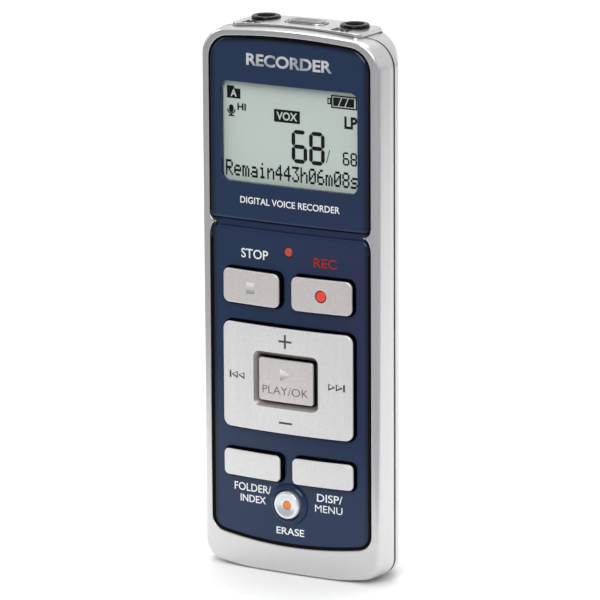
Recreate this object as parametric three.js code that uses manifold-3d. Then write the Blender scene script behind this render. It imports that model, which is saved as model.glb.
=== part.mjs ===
// Handheld voice recorder, millimetres. X to the right, Y from the face to the back, Z up.
// It stands on its bottom end, with the origin on the ground under the middle of the body.
import * as THREE from 'three';
import { mergeVertices } from 'three/addons/utils/BufferGeometryUtils.js';
import Module from 'manifold-3d';

const wasm = await Module();
wasm.setup();

// ---- Driving dimensions ----
const HEIGHT = 102;
const HALF_WIDTH = 19.5;
const FACE_Y = -8.35; // middle of the navy face; every depth below counts back from here
const BACK_DEPTH = 18.1;
const FACE_RADIUS = 200; // the face bulges about an upright axis
const LENS_RADIUS = 350;
const KEY_RADIUS = 107;
const KEY_PROUD = 1.4;
const CROWN_RADIUS = 115; // top edge of the body and of the face
const CROWN_TOP = 101.2;
const FOOT_FLAT = 7; // half width of the flat the body stands on
const FOOT_RADIUS = 42;
const CHIN_RADIUS = 90; // lower edge of the navy face
const SEAM_FRONT = 4.6;
const SEAM_BACK = 4.9;
const WALL = 1.3;

const PANEL_HALF = 16.45;
const PANEL_GAP = 0.3;
const PANEL_TOP = 99.6;
const PANEL_BOTTOM = 5.4;
const PANEL_CORNER = 3.8;
const LOW_CORNER_SHARE = 0.62; // lower corners against upper ones, on the body and the face
const INNER_CORNER = 0.6; // how much of the wall comes off an inner corner
const PANEL_THICK = 1.6;
const LENS_THICK = 0.9;
const GROOVE_LOW = 64.0;
const GROOVE_HIGH = 65.4;
const GROOVE_DEEP = 0.9;
const NOTCH_DEEP = 1.5;
const NOTCH_TALL = 3.4;
const LEDGE_FRONT = 2.35;
const LEDGE_BACK = 2.9;

const KEY_GAP = 0.22;
const FLANGE_FRONT = 2.45;
const FLANGE_BACK = 2.85;
const FLANGE_LIP = 0.65;
const MAT_TOP = 3.55;
const MAT_FRONT = 3.72;
const MAT_BACK = 4.0;
const DOME_FRONT = 4.08;
const DOME_BACK = 4.18;
const BOARD_FRONT = 4.3;
const BOARD_BACK = 5.1;

const KEYS = {
  stop_key: { x: -7.35, z: 53.3, half: 6.05, tall: 3.15, corner: 1.2 },
  rec_key: { x: 7.35, z: 53.3, half: 6.05, tall: 3.15, corner: 1.2 },
  folder_key: { x: -7.4, z: 20.05, half: 6.1, tall: 2.43, corner: 0.9 },
  disp_key: { x: 7.4, z: 20.05, half: 6.1, tall: 2.43, corner: 0.9 },
};
const PAD = { x: 0, z: 36.7, half: 13.5, tall: 9.85, corner: 1.5 };
const PAD_WINDOW = { half: 6.75, tall: 5.1, corner: 1.3, slope: 0.7 };
const PLAY = { x: 0, z: 36.7, half: 5.65, tall: 3.98, corner: 0.5 };
const ERASE_Z = 13.4;
const ERASE_RADIUS = 2.6;
const COLLAR_RADIUS = 3.7;
const LED_Z = 60.5;
const LED_RADIUS = 0.8;

const LCD_Z = 81.9;
const LCD_HALF = 15;
const LCD_TALL = 10.6;
const LCD_FRONT = 1.6;
const LCD_BACK = 3.2;

const PLATE_HALF = 13.4;
const PLATE_FRONT = 2.8;
const PLATE_BACK = 11.8;
const JACK_X = 9.2;
const JACK_DEPTH = 8.5;
const JACK_RADIUS = 2.6;
const JACK_BORE = 1.75;
const MIC_DEPTH = 7.2;
const MIC_HALF = 4.2;
const MIC_WIDE = 2.0;

const CELL_RADIUS = 5.25;
const CELL_X = 5.55;
const CELL_DEPTH = 11.3;
const CELL_LOW = 12.6;
const CELL_LONG = 43.2;
const BAY_HALF = 11.3;
const BAY_LOW = 8.6;
const BAY_HIGH = 61.0;
const BAY_FLOOR = 5.8;
const BAY_WALL = 1.0;
const COVER_FRONT = 15.4;
const COVER_TOP = 62.4;

const SPEAKER_Z = 82;
const SPEAKER_RADIUS = 9.6;
const GRILLE_RADIUS = 7.5;
const USB_Z = 71;
const HOLD_Z = 84;
const HOLD_TRAVEL = 3;
const SCREW_HEAD = 1.4;
const SCREW_SHANK = 0.75;
const SCREW_WELL = 1.6;
const BOSS_RADIUS = 2.2;
const POST_RADIUS = 2;
const USB_HALF = 3.85;
const USB_CLEAR = 0.25;
const HOLD_HALF = 2.2;
const HOLD_STEM = 0.7;
const FRAME_WINDOW_HALF = 15.5;
const SCREWS = [
  [-14.2, 9.4],
  [14.2, 9.4],
  [-14.2, 95.6],
  [14.2, 95.6],
];

// Half width, top and lowest point of the body at each depth.
const FRONT_SECTIONS = [
  { depth: -0.2, half: 17.3, top: 100.9, low: 0.4, corner: 4.0, bulge: 1 },
  { depth: -0.02, half: 17.75, top: 101.1, low: 0.14, corner: 4.3, bulge: 1 },
  { depth: 0.35, half: 18.15, top: 101.18, low: 0.03, corner: 4.5, bulge: 1 },
  { depth: 1.4, half: 18.35, top: CROWN_TOP, low: 0, corner: 4.5, bulge: 0 },
  { depth: SEAM_FRONT, half: 19.3, top: CROWN_TOP, low: 0, corner: 4.4, bulge: 0 },
];
const REAR_SECTIONS = [
  { depth: SEAM_BACK, half: 19.42, top: CROWN_TOP, low: 0, corner: 4.4 },
  { depth: 5.6, half: HALF_WIDTH, top: CROWN_TOP, low: 0, corner: 4.4 },
  { depth: 6.4, half: 19.3, top: CROWN_TOP, low: 0, corner: 4.4 },
  { depth: 7.6, half: 18.6, top: CROWN_TOP, low: 0, corner: 4.4 },
  { depth: 9.5, half: 17.5, top: CROWN_TOP, low: 0.1, corner: 4.6 },
  { depth: 12, half: 16.1, top: 101.1, low: 1.2, corner: 4.6 },
  { depth: 14, half: 14.9, top: 100.2, low: 3.0, corner: 5.2 },
  { depth: 15.4, half: 13.9, top: 99.0, low: 5.0, corner: 5.6 },
  { depth: 16.6, half: 12.8, top: 97.5, low: 7.4, corner: 5.8 },
  { depth: 17.6, half: 11.5, top: 95.6, low: 10.0, corner: 6 },
  { depth: BACK_DEPTH, half: 10.2, top: 93.8, low: 12.4, corner: 6 },
];

// How finely outlines are stepped: along each corner and along the middle.
const BODY_STEPS = { corner: 5, middle: 10 };
const KEY_STEPS = { corner: 3, middle: 4 };
const ROUND_STEPS = 20;

const FINISHES = {
  silver_paint: { color: 0xc9cacc, roughness: 0.34, metalness: 0.75 },
  silver_key: { color: 0xd6d5d2, roughness: 0.42, metalness: 0.55 },
  warm_key: { color: 0xb9b3ae, roughness: 0.4, metalness: 0.6 },
  navy_gloss: { color: 0x2d3c58, roughness: 0.12, metalness: 0 },
  black_plastic: { color: 0x141416, roughness: 0.35, metalness: 0 },
  red_plastic: { color: 0xd8301c, roughness: 0.4, metalness: 0 },
  orange_plastic: { color: 0xe88a1c, roughness: 0.4, metalness: 0 },
  lcd_glass: { color: 0xaebab0, roughness: 0.2, metalness: 0 },
  white_plastic: { color: 0xe4e4e0, roughness: 0.5, metalness: 0 },
  grey_rubber: { color: 0x6c6e70, roughness: 0.8, metalness: 0 },
  board_green: { color: 0x1f5a3a, roughness: 0.5, metalness: 0 },
  steel: { color: 0xbfc2c4, roughness: 0.3, metalness: 1 },
  gold_film: { color: 0xc9a050, roughness: 0.35, metalness: 0.8 },
  paper_cone: { color: 0x2a2a2a, roughness: 0.9, metalness: 0 },
  cell_wrap: { color: 0x3f6fa8, roughness: 0.35, metalness: 0.3 },
};

const depth = (d) => FACE_Y + d;
const bulge = (x, radius) => (x * x) / (2 * radius);
const assembly = new THREE.Group();

// ---- Solids ----
function solid(geometry) {
  const bare = geometry.index ? geometry.clone() : geometry;
  bare.deleteAttribute('normal');
  bare.deleteAttribute('uv');
  const merged = mergeVertices(bare, 1e-5);
  return new wasm.Manifold(new wasm.Mesh({
    numProp: 3,
    vertProperties: new Float32Array(merged.attributes.position.array),
    triVerts: new Uint32Array(merged.index.array),
  }));
}

function cut(body, ...tools) {
  return tools.reduce((rest, tool) => rest.subtract(tool), body);
}

function join(...bodies) {
  return bodies.reduce((whole, body) => whole.add(body));
}

function addPart(name, body, finish) {
  const mesh = body.getMesh();
  const geometry = new THREE.BufferGeometry();
  geometry.setAttribute('position', new THREE.BufferAttribute(new Float32Array(mesh.vertProperties), 3));
  geometry.setIndex(new THREE.BufferAttribute(new Uint32Array(mesh.triVerts), 1));
  geometry.computeVertexNormals();
  const part = new THREE.Mesh(geometry, new THREE.MeshStandardMaterial(FINISHES[finish]));
  part.name = name;
  assembly.add(part);
}

// Upright columns across a rounded outline: at each x the highest and the lowest point.
function columns({ x = 0, half, top, low, corner, lowCorner = corner, crown, foot, steps = BODY_STEPS }) {
  const offsets = [];
  for (let i = 0; i < steps.corner; i += 1) {
    offsets.push(-half + corner * (1 - Math.cos((i / steps.corner) * Math.PI / 2)));
  }
  for (let i = 0; i <= steps.middle; i += 1) {
    offsets.push((half - corner) * (2 * i / steps.middle - 1));
  }
  for (let i = steps.corner - 1; i >= 0; i -= 1) {
    offsets.push(half - corner * (1 - Math.cos((i / steps.corner) * Math.PI / 2)));
  }
  const drop = (offset, radius) => {
    const past = Math.min(Math.max(Math.abs(offset) - (half - radius), 0), radius);
    return radius - Math.sqrt(radius * radius - past * past);
  };
  return offsets.map((offset) => {
    const high = top - drop(offset, corner) - (crown ? bulge(offset, crown) : 0);
    return { x: x + offset, high, low: low + drop(offset, lowCorner) + (foot ? foot(offset) : 0) };
  });
}

// A closed skin over a stack of outlines, each with its own depth at every x.
function loft(levels) {
  const count = levels[0].columns.length;
  const points = [];
  for (const level of levels) {
    for (const c of level.columns) points.push(c.x, level.y(c.x), c.high);
    for (const c of [...level.columns].reverse()) points.push(c.x, level.y(c.x), c.low);
  }
  const ring = 2 * count;
  const faces = [];
  for (let k = 0; k + 1 < levels.length; k += 1) {
    for (let i = 0; i < ring; i += 1) {
      const a = k * ring + i;
      const b = k * ring + (i + 1) % ring;
      faces.push(a, b, b + ring, a, b + ring, a + ring);
    }
  }
  const last = (levels.length - 1) * ring;
  for (let i = 0; i + 1 < count; i += 1) {
    const j = ring - 1 - i;
    faces.push(i, j, i + 1, i + 1, j, j - 1);
    faces.push(last + i, last + i + 1, last + j, last + i + 1, last + j - 1, last + j);
  }
  const geometry = new THREE.BufferGeometry();
  geometry.setAttribute('position', new THREE.Float32BufferAttribute(points, 3));
  geometry.setIndex(faces);
  return solid(geometry);
}

function flatLevel(outline, d) {
  return { columns: columns(outline), y: () => depth(d) };
}

function slab(outline, front, back) {
  return loft([flatLevel(outline, front), flatLevel(outline, back)]);
}

// A plate whose front and back follow the same bulge.
function bowedSlab(outline, front, back, radius) {
  const shape = columns(outline);
  return loft([
    { columns: shape, y: (x) => depth(front) + bulge(x, radius) },
    { columns: shape, y: (x) => depth(back) + bulge(x, radius) },
  ]);
}

function keyOutline({ x, z, half, tall, corner }, grow = 0) {
  return {
    x,
    half: half + grow,
    top: z + tall + grow,
    low: z - tall - grow,
    corner: corner + grow * 0.6,
    steps: KEY_STEPS,
  };
}

function box(x0, x1, d0, d1, z0, z1) {
  const geometry = new THREE.BoxGeometry(x1 - x0, d1 - d0, z1 - z0);
  geometry.translate((x0 + x1) / 2, depth((d0 + d1) / 2), (z0 + z1) / 2);
  return solid(geometry);
}

// A round bar along the depth of the body.
function bar(x, z, radius, d0, d1, steps = ROUND_STEPS) {
  const geometry = new THREE.CylinderGeometry(radius, radius, d1 - d0, steps);
  geometry.translate(x, depth((d0 + d1) / 2), z);
  return solid(geometry);
}

// A round bar standing upright.
function post(x, d, radius, z0, z1, steps = ROUND_STEPS) {
  const geometry = new THREE.CylinderGeometry(radius, radius, z1 - z0, steps);
  geometry.rotateX(Math.PI / 2);
  geometry.translate(x, depth(d), (z0 + z1) / 2);
  return solid(geometry);
}

// A pill with its long side across the body, standing upright.
function pill(d, half, wide, z0, z1) {
  const shape = new THREE.Shape();
  shape.moveTo(-(half - wide), -wide);
  shape.lineTo(half - wide, -wide);
  shape.absarc(half - wide, 0, wide, -Math.PI / 2, Math.PI / 2, false);
  shape.lineTo(-(half - wide), wide);
  shape.absarc(-(half - wide), 0, wide, Math.PI / 2, 3 * Math.PI / 2, false);
  const geometry = new THREE.ExtrudeGeometry(shape, { depth: z1 - z0, bevelEnabled: false, curveSegments: 10 });
  geometry.translate(0, depth(d), z0);
  return solid(geometry);
}

function turned(profile, steps = ROUND_STEPS) {
  return new THREE.LatheGeometry(profile.map(([r, h]) => new THREE.Vector2(r, h)), steps);
}

// A turned piece whose axis runs along the depth, its profile given as radius and depth.
function turnedAlongDepth(x, z, profile, steps) {
  const geometry = turned(profile, steps);
  geometry.translate(x, FACE_Y, z);
  return outward(geometry);
}

// A turned piece standing upright, its profile given as radius and height.
function turnedUpright(x, d, profile, steps) {
  const geometry = turned(profile, steps);
  geometry.rotateX(Math.PI / 2);
  geometry.translate(x, depth(d), 0);
  return outward(geometry);
}

// A turned solid whose faces are made to point out whichever way its profile was drawn.
function outward(geometry) {
  const body = solid(geometry);
  if (body.volume() > 0) return body;
  geometry.index.array.reverse();
  return solid(geometry);
}

function notch(side, grow) {
  const middle = (GROOVE_LOW + GROOVE_HIGH) / 2;
  const edge = PANEL_HALF + PANEL_GAP + 1;
  const tip = PANEL_HALF + PANEL_GAP - NOTCH_DEEP - grow;
  const flare = NOTCH_TALL / 2 + grow * 1.4;
  const slope = flare * (edge - tip) / (NOTCH_DEEP + grow);
  const shape = new THREE.Shape();
  shape.moveTo(side * tip, 0);
  shape.lineTo(side * edge, slope);
  shape.lineTo(side * edge, -slope);
  const geometry = new THREE.ExtrudeGeometry(shape, { depth: 8, bevelEnabled: false });
  geometry.rotateX(Math.PI / 2);
  geometry.translate(0, depth(5), middle);
  return solid(geometry);
}

const footRise = (x) => Math.max(Math.abs(x) - FOOT_FLAT, 0) ** 2 / (2 * FOOT_RADIUS);
const chinRise = (x) => bulge(x, CHIN_RADIUS);

function bodyLevel(section, inset = 0) {
  const outline = {
    steps: inset ? KEY_STEPS : BODY_STEPS,
    half: section.half - inset,
    top: section.top - inset,
    low: section.low + inset,
    corner: section.corner - inset * INNER_CORNER,
    lowCorner: (section.corner - inset * INNER_CORNER) * LOW_CORNER_SHARE,
    crown: CROWN_RADIUS,
    foot: footRise,
  };
  const amount = section.bulge || 0;
  return { columns: columns(outline), y: (x) => depth(section.depth) + amount * bulge(x, FACE_RADIUS) };
}

// ---- Casings ----
function frontFrame() {
  const outer = loft(FRONT_SECTIONS.map((section) => bodyLevel(section)));
  const opening = slab({
    half: PANEL_HALF + PANEL_GAP,
    top: PANEL_TOP + PANEL_GAP,
    low: PANEL_BOTTOM - PANEL_GAP,
    corner: PANEL_CORNER,
    lowCorner: PANEL_CORNER * LOW_CORNER_SHARE,
    crown: CROWN_RADIUS,
    foot: chinRise,
  }, -3, LEDGE_FRONT);
  const notched = cut(opening, notch(-1, 0), notch(1, 0));
  const upper = slab({ half: FRAME_WINDOW_HALF, top: 97.6, low: 67.4, corner: 1, steps: KEY_STEPS }, 1, 4);
  const lower = slab({ half: FRAME_WINDOW_HALF, top: 62.4, low: 7.6, corner: 2.5, steps: KEY_STEPS }, 1, 4);
  const cavity = slab({ half: 17.4, top: 99.7, low: 1.5, corner: 3.6, crown: CROWN_RADIUS }, LEDGE_BACK, 6);
  const posts = SCREWS.map(([x, z]) => bar(x, z, POST_RADIUS, LEDGE_BACK - 0.3, BOARD_FRONT - 0.15, 16));
  const bores = SCREWS.map(([x, z]) => bar(x, z, SCREW_SHANK + 0.2, 3.1, 6, 12));
  const shell = cut(outer, notched, upper, lower, cavity);
  return cut(join(shell, ...posts), ...bores);
}

function rearOuter() {
  return loft(REAR_SECTIONS.map((section) => bodyLevel(section)));
}

function rearInner() {
  const walls = REAR_SECTIONS.filter((section) => section.depth > 6 && section.depth < BACK_DEPTH - WALL);
  const mouth = { ...REAR_SECTIONS[0], depth: SEAM_BACK - 1 };
  const end = { depth: BACK_DEPTH - WALL, half: 11.9, top: 95.9, low: 10.1, corner: 6 };
  return loft([mouth, ...walls, end].map((section) => bodyLevel(section, WALL)));
}

function rearCase(outer, inner) {
  const bayHalf = BAY_HALF + BAY_WALL;
  const bay = box(-bayHalf, bayHalf, BAY_FLOOR - 0.45, 17, BAY_LOW - BAY_WALL, BAY_HIGH + BAY_WALL);
  const bosses = SCREWS.map(([x, z]) => bar(x, z, BOSS_RADIUS, BOARD_BACK + 0.2, 15, 16));
  const bayRoom = box(-BAY_HALF, BAY_HALF, BAY_FLOOR, 20, BAY_LOW, BAY_HIGH);
  const coverRoom = box(-HALF_WIDTH, HALF_WIDTH, COVER_FRONT - 0.2, 20, -1, COVER_TOP + 0.2);
  const tools = [
    bayRoom,
    coverRoom,
    bar(0, SPEAKER_Z, GRILLE_RADIUS + 0.2, 16, 20),
    box(-25, -15, 5.3, 9.4, USB_Z - USB_HALF - USB_CLEAR, USB_Z + USB_HALF + USB_CLEAR),
    box(-25, -18.6, 5.5, 7.7, HOLD_Z - HOLD_HALF - 0.3 - HOLD_TRAVEL, HOLD_Z + HOLD_HALF + 0.3),
    box(-19, -15, 6.0, 7.2, HOLD_Z - HOLD_STEM - 0.3 - HOLD_TRAVEL, HOLD_Z + HOLD_STEM + 0.3),
    pill(MIC_DEPTH, MIC_HALF + 0.15, MIC_WIDE + 0.15, 90, 105),
  ];
  for (const side of [-1, 1]) tools.push(post(side * JACK_X, JACK_DEPTH, JACK_RADIUS + 0.15, 90, 105));
  for (const [x, z] of SCREWS) {
    tools.push(bar(x, z, SCREW_SHANK + 0.3, 4, 9, 12));
    tools.push(bar(x, z, SCREW_WELL, 8, 20, 16));
  }
  const shell = cut(outer, inner);
  return cut(join(shell, bay.intersect(outer), ...bosses.map((boss) => boss.intersect(outer))), ...tools);
}

function batteryCover(outer, inner) {
  const region = box(-HALF_WIDTH, HALF_WIDTH, COVER_FRONT, 20, 0, COVER_TOP);
  return cut(outer, inner).intersect(region);
}

function topPlate() {
  const half = PLATE_HALF;
  const steps = 12;
  const low = (x) => CROWN_TOP + 0.08 - bulge(x, CROWN_RADIUS);
  const high = (x) => CROWN_TOP + 0.4 - bulge(x, FACE_RADIUS);
  const shape = new THREE.Shape();
  for (let i = 0; i <= steps; i += 1) {
    const x = half * (2 * i / steps - 1);
    if (i) shape.lineTo(x, low(x));
    else shape.moveTo(x, low(x));
  }
  for (let i = steps; i >= 0; i -= 1) {
    const x = half * (2 * i / steps - 1);
    shape.lineTo(x, high(x));
  }
  const geometry = new THREE.ExtrudeGeometry(shape, { depth: PLATE_BACK - PLATE_FRONT, bevelEnabled: false });
  geometry.rotateX(Math.PI / 2);
  geometry.translate(0, depth(PLATE_BACK), 0);
  const corners = [-1, 1].flatMap((side) => [PLATE_FRONT, PLATE_BACK].map((d) => {
    const chamfer = new THREE.BoxGeometry(1.3, 1.3, 6);
    chamfer.rotateZ(Math.PI / 4);
    chamfer.translate(side * half, depth(d), 101);
    return solid(chamfer);
  }));
  const holes = [-1, 1].map((side) => post(side * JACK_X, JACK_DEPTH, JACK_RADIUS + 0.15, 98, 105));
  return cut(solid(geometry), ...corners, ...holes, pill(MIC_DEPTH, MIC_HALF + 0.15, MIC_WIDE + 0.15, 98, 105));
}

// ---- Face ----
function displayLens() {
  const plate = bowedSlab({
    half: PANEL_HALF,
    top: PANEL_TOP,
    low: 20,
    corner: PANEL_CORNER - 0.1,
    crown: CROWN_RADIUS,
  }, 0, LENS_THICK, LENS_RADIUS);
  return cut(plate, box(-25, 25, -3, 9, 0, GROOVE_HIGH + 0.1), notch(-1, PANEL_GAP), notch(1, PANEL_GAP));
}

function keyPanel() {
  const plate = bowedSlab({
    half: PANEL_HALF,
    top: 90,
    low: PANEL_BOTTOM,
    corner: PANEL_CORNER - 0.1,
    lowCorner: PANEL_CORNER * LOW_CORNER_SHARE - 0.1,
    foot: chinRise,
  }, 0, PANEL_THICK, FACE_RADIUS);
  const collar = turnedAlongDepth(0, ERASE_Z, [[0, 1], [COLLAR_RADIUS + 0.25, 1], [COLLAR_RADIUS, -0.1],
    [COLLAR_RADIUS - 0.4, -0.8], [ERASE_RADIUS + 0.5, -0.8], [0, -0.8]]);
  const holes = Object.values(KEYS).map((key) => slab(keyOutline(key, KEY_GAP), -4, 6));
  const above = box(-25, 25, -3, 9, GROOVE_LOW - 0.1, 120);
  const lipOutline = { half: 14.6, top: GROOVE_HIGH - 0.1, low: 60, corner: 0.3 };
  const lip = bowedSlab(lipOutline, GROOVE_DEEP, PANEL_THICK, FACE_RADIUS);
  const trimmed = cut(join(cut(plate, above), lip), notch(-1, PANEL_GAP), notch(1, PANEL_GAP));
  return cut(
    join(trimmed, collar),
    ...holes,
    slab(keyOutline(PAD, KEY_GAP), -4, 6),
    bar(0, ERASE_Z, ERASE_RADIUS + KEY_GAP, -4, 6),
    bar(0, LED_Z, LED_RADIUS + 0.1, -4, 6, 16),
  );
}

function key(spec) {
  const cap = loft([
    { columns: columns(keyOutline(spec, -0.15)), y: (x) => depth(-KEY_PROUD) + bulge(x, KEY_RADIUS) },
    { columns: columns(keyOutline(spec)), y: (x) => depth(-KEY_PROUD + 0.15) + bulge(x, KEY_RADIUS) },
    { columns: columns(keyOutline(spec)), y: () => depth(FLANGE_FRONT + 0.2) },
  ]);
  return join(cap, slab(keyOutline(spec, FLANGE_LIP), FLANGE_FRONT, FLANGE_BACK));
}

function navPad() {
  const cap = loft([
    { columns: columns(keyOutline(PAD, -0.15)), y: (x) => depth(-KEY_PROUD) + bulge(x, KEY_RADIUS) },
    { columns: columns(keyOutline(PAD)), y: (x) => depth(-KEY_PROUD + 0.15) + bulge(x, KEY_RADIUS) },
    flatLevel(keyOutline(PAD), 3.0),
  ]);
  const lip = slab(keyOutline(PAD, 0.55), 2.72, 3.0);
  const window = { x: 0, z: PAD.z, half: PAD_WINDOW.half, tall: PAD_WINDOW.tall, corner: PAD_WINDOW.corner };
  const cutter = loft([
    flatLevel(keyOutline(window, 0.75), -KEY_PROUD - 0.9),
    flatLevel(keyOutline(window, -PAD_WINDOW.slope), -KEY_PROUD + 0.8),
    flatLevel(keyOutline(window, -PAD_WINDOW.slope), 4),
  ]);
  const pocket = slab({ half: 11, top: PAD.z + 7.4, low: PAD.z - 7.4, corner: 1 }, 1.9, 4);
  return cut(join(cap, lip), cutter, pocket);
}

function padPivotRing() {
  const outer = slab({ half: 10, top: PAD.z + 6.6, low: PAD.z - 6.6, corner: 1 }, 2.4, 3.2);
  const inner = slab({ half: 7, top: PAD.z + 5, low: PAD.z - 5, corner: 1 }, 2, 4);
  return cut(outer, inner);
}

function playKey() {
  return loft([
    { columns: columns(keyOutline(PLAY, -0.15)), y: (x) => depth(-KEY_PROUD + 0.05) + bulge(x, KEY_RADIUS) },
    { columns: columns(keyOutline(PLAY)), y: (x) => depth(-KEY_PROUD + 0.2) + bulge(x, KEY_RADIUS) },
    flatLevel(keyOutline(PLAY), 3.1),
  ]);
}

function eraseKey() {
  const body = turnedAlongDepth(0, ERASE_Z, [[0, -0.95], [1.2, -1.0], [2.1, -1.35], [ERASE_RADIUS - 0.15, -1.35],
    [ERASE_RADIUS, -1.2], [ERASE_RADIUS, FLANGE_FRONT], [3.25, FLANGE_FRONT], [3.25, FLANGE_BACK], [0, FLANGE_BACK]]);
  return cut(body, bar(0, ERASE_Z, 0.75, -3, -0.5, 16));
}

// ---- Under the face ----
function keyMat() {
  const sheet = slab({ half: 15.2, top: 62, low: 8.2, corner: 2 }, MAT_FRONT, MAT_BACK);
  const bumps = Object.values(KEYS).map(({ x, z }) => bar(x, z, 2, MAT_TOP, MAT_FRONT + 0.1, 16));
  const padBumps = [[0, 8.6], [0, -8.6], [12.2, 0], [-12.2, 0], [0, 0]]
    .map(([x, z]) => bar(x, PAD.z + z, 1.0, MAT_TOP, MAT_FRONT + 0.1, 12));
  const clear = SCREWS.map(([x, z]) => bar(x, z, 2.3, 3, 5, 16));
  const body = join(sheet, ...bumps, ...padBumps, bar(0, ERASE_Z, 1.5, MAT_TOP, MAT_FRONT + 0.1, 16));
  return cut(body, ...clear, bar(0, LED_Z, 1.3, 3, 5, 16));
}

function domeSheet() {
  const sheet = slab({ half: 15.2, top: 57.5, low: 8.2, corner: 2 }, DOME_FRONT, DOME_BACK);
  return cut(sheet, ...SCREWS.map(([x, z]) => bar(x, z, 2.3, 3, 5, 16)));
}

function mainBoard() {
  const sheet = slab({ half: 16.4, top: 98, low: 3.6, corner: 2.5 }, BOARD_FRONT, BOARD_BACK);
  return cut(sheet, box(-3.2, 3.2, 4, 6, 95.9, 100), ...SCREWS.map(([x, z]) => bar(x, z, 1.2, 4, 6, 12)));
}

// An open tray: the panel drops in from the front and rests on a shelf behind it.
function lcdHolder() {
  const [front, back] = [LCD_FRONT - 0.15, BOARD_FRONT - 0.1];
  const shelf = LCD_BACK + 0.1;
  const outer = box(-LCD_HALF - 0.35, LCD_HALF + 0.35, front, back, LCD_Z - 13.2, LCD_Z + 11.4);
  const [glassHalf, glassTall] = [LCD_HALF + 0.1, LCD_TALL + 0.1];
  const glassRoom = box(-glassHalf, glassHalf, front - 1, shelf, LCD_Z - glassTall, LCD_Z + glassTall);
  const window = box(-14.3, 14.3, front - 1, back + 1, LCD_Z - 9.8, LCD_Z + 9.8);
  const stripRoom = box(-13.1, 13.1, 3.1, back + 1, LCD_Z - 12.4, LCD_Z - LCD_TALL);
  return cut(outer, glassRoom, window, stripRoom);
}

function speakerFrame() {
  return turnedAlongDepth(0, SPEAKER_Z, [[8.6, 16.1], [SPEAKER_RADIUS, 16.1], [SPEAKER_RADIUS, 15.2], [6.6, 12.6],
    [5.4, 12.6], [5.4, 13.2], [6.2, 13.2], [8.6, 15.4], [8.6, 16.1]]);
}

function speakerCone() {
  return turnedAlongDepth(0, SPEAKER_Z, [[0, 14.6], [2.6, 15.2], [3.2, 14.9], [8.4, 15.9], [8.4, 15.7], [3.2, 14.7],
    [2.6, 15.0], [0, 14.4]]);
}

// ---- Power ----
function cell(x, up) {
  const ends = [[0, 0], [4.4, 0], [CELL_RADIUS, 0.4], [CELL_RADIUS, CELL_LONG - 0.4], [4.6, CELL_LONG], [1.9, CELL_LONG],
    [1.9, CELL_LONG + 0.9], [0, CELL_LONG + 0.9]];
  const profile = ends.map(([r, h]) => [r, up ? CELL_LOW + h : CELL_LOW + CELL_LONG - h]);
  return turnedUpright(x, CELL_DEPTH, up ? profile : profile.reverse(), ROUND_STEPS);
}

class SpringPath extends THREE.Curve {
  constructor(x, z0, rise) {
    super();
    this.x = x;
    this.z0 = z0;
    this.rise = rise;
  }

  getPoint(t, target = new THREE.Vector3()) {
    const turn = t * 3 * 2 * Math.PI;
    const radius = 3.3 - 1.1 * t;
    return target.set(
      this.x + radius * Math.cos(turn),
      depth(CELL_DEPTH) + radius * Math.sin(turn),
      this.z0 + this.rise * t,
    );
  }
}

function batterySpring(x, z0, rise) {
  const wire = new THREE.Shape();
  wire.absarc(0, 0, 0.3, 0, 2 * Math.PI, false);
  const path = new SpringPath(x, z0, rise);
  const sweep = { steps: 30, bevelEnabled: false, extrudePath: path, curveSegments: 3 };
  const geometry = new THREE.ExtrudeGeometry(wire, sweep);
  return outward(geometry);
}

function screw([x, z]) {
  const body = turnedAlongDepth(x, z, [[0, 9.9], [SCREW_HEAD, 9.9], [SCREW_HEAD, 9.2], [SCREW_SHANK, 9.15],
    [SCREW_SHANK, 3.4], [0, 3.2]], 16);
  const crossed = [[0.9, 0.17], [0.17, 0.9]].map(([a, b]) => box(x - a, x + a, 9.5, 11, z - b, z + b));
  return cut(body, ...crossed);
}

function jack(side) {
  const x = side * JACK_X;
  const block = box(x - 2.7, x + 2.7, 5.6, 11.4, 86.5, 98.6);
  const neck = post(x, JACK_DEPTH, JACK_RADIUS, 98, HEIGHT - 0.1);
  return cut(join(block, neck), post(x, JACK_DEPTH, JACK_BORE, 87.5, 105, 20));
}

function usbSocket() {
  const shell = box(-17.4, -9, 5.5, 9.2, USB_Z - USB_HALF, USB_Z + USB_HALF);
  const room = box(-18, -9.6, 5.9, 8.8, USB_Z - USB_HALF + 0.4, USB_Z + USB_HALF - 0.4);
  const tongue = box(-16.2, -9.3, 7.0, 7.6, USB_Z - 2.2, USB_Z + 2.2);
  return join(cut(shell, room), tongue);
}

function speakerGrille() {
  const disc = bar(0, SPEAKER_Z, GRILLE_RADIUS, 16.9, 17.9);
  const holes = [bar(0, SPEAKER_Z, 0.6, 16, 19, 6)];
  for (const [ring, count] of [[2.6, 6], [5.4, 12]]) {
    for (let i = 0; i < count; i += 1) {
      const turn = (i / count) * 2 * Math.PI;
      holes.push(bar(ring * Math.cos(turn), SPEAKER_Z + ring * Math.sin(turn), 0.6, 16, 19, 6));
    }
  }
  return cut(disc, ...holes);
}

function micGrille() {
  const body = join(
    pill(MIC_DEPTH, MIC_HALF, MIC_WIDE, 100.4, 101.75),
    pill(MIC_DEPTH, MIC_HALF - 0.4, MIC_WIDE - 0.4, 101, HEIGHT),
  );
  const slots = [-1, 0, 1].map((row) => box(-2.6, 2.6, MIC_DEPTH + row * 0.8 - 0.14, MIC_DEPTH + row * 0.8 + 0.14, 99, 105));
  return cut(body, ...slots);
}

function holdKnob() {
  const cap = box(-19.45, -18.8, 5.75, 7.45, HOLD_Z - HOLD_HALF, HOLD_Z + HOLD_HALF);
  const stem = box(-18.9, -16.9, 6.2, 7.0, HOLD_Z - HOLD_STEM, HOLD_Z + HOLD_STEM);
  const grooves = [-1.2, 0, 1.2].map((z) => box(-20, -19.2, 5, 8, HOLD_Z + z - 0.15, HOLD_Z + z + 0.15));
  return join(cut(cap, ...grooves), stem);
}

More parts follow.
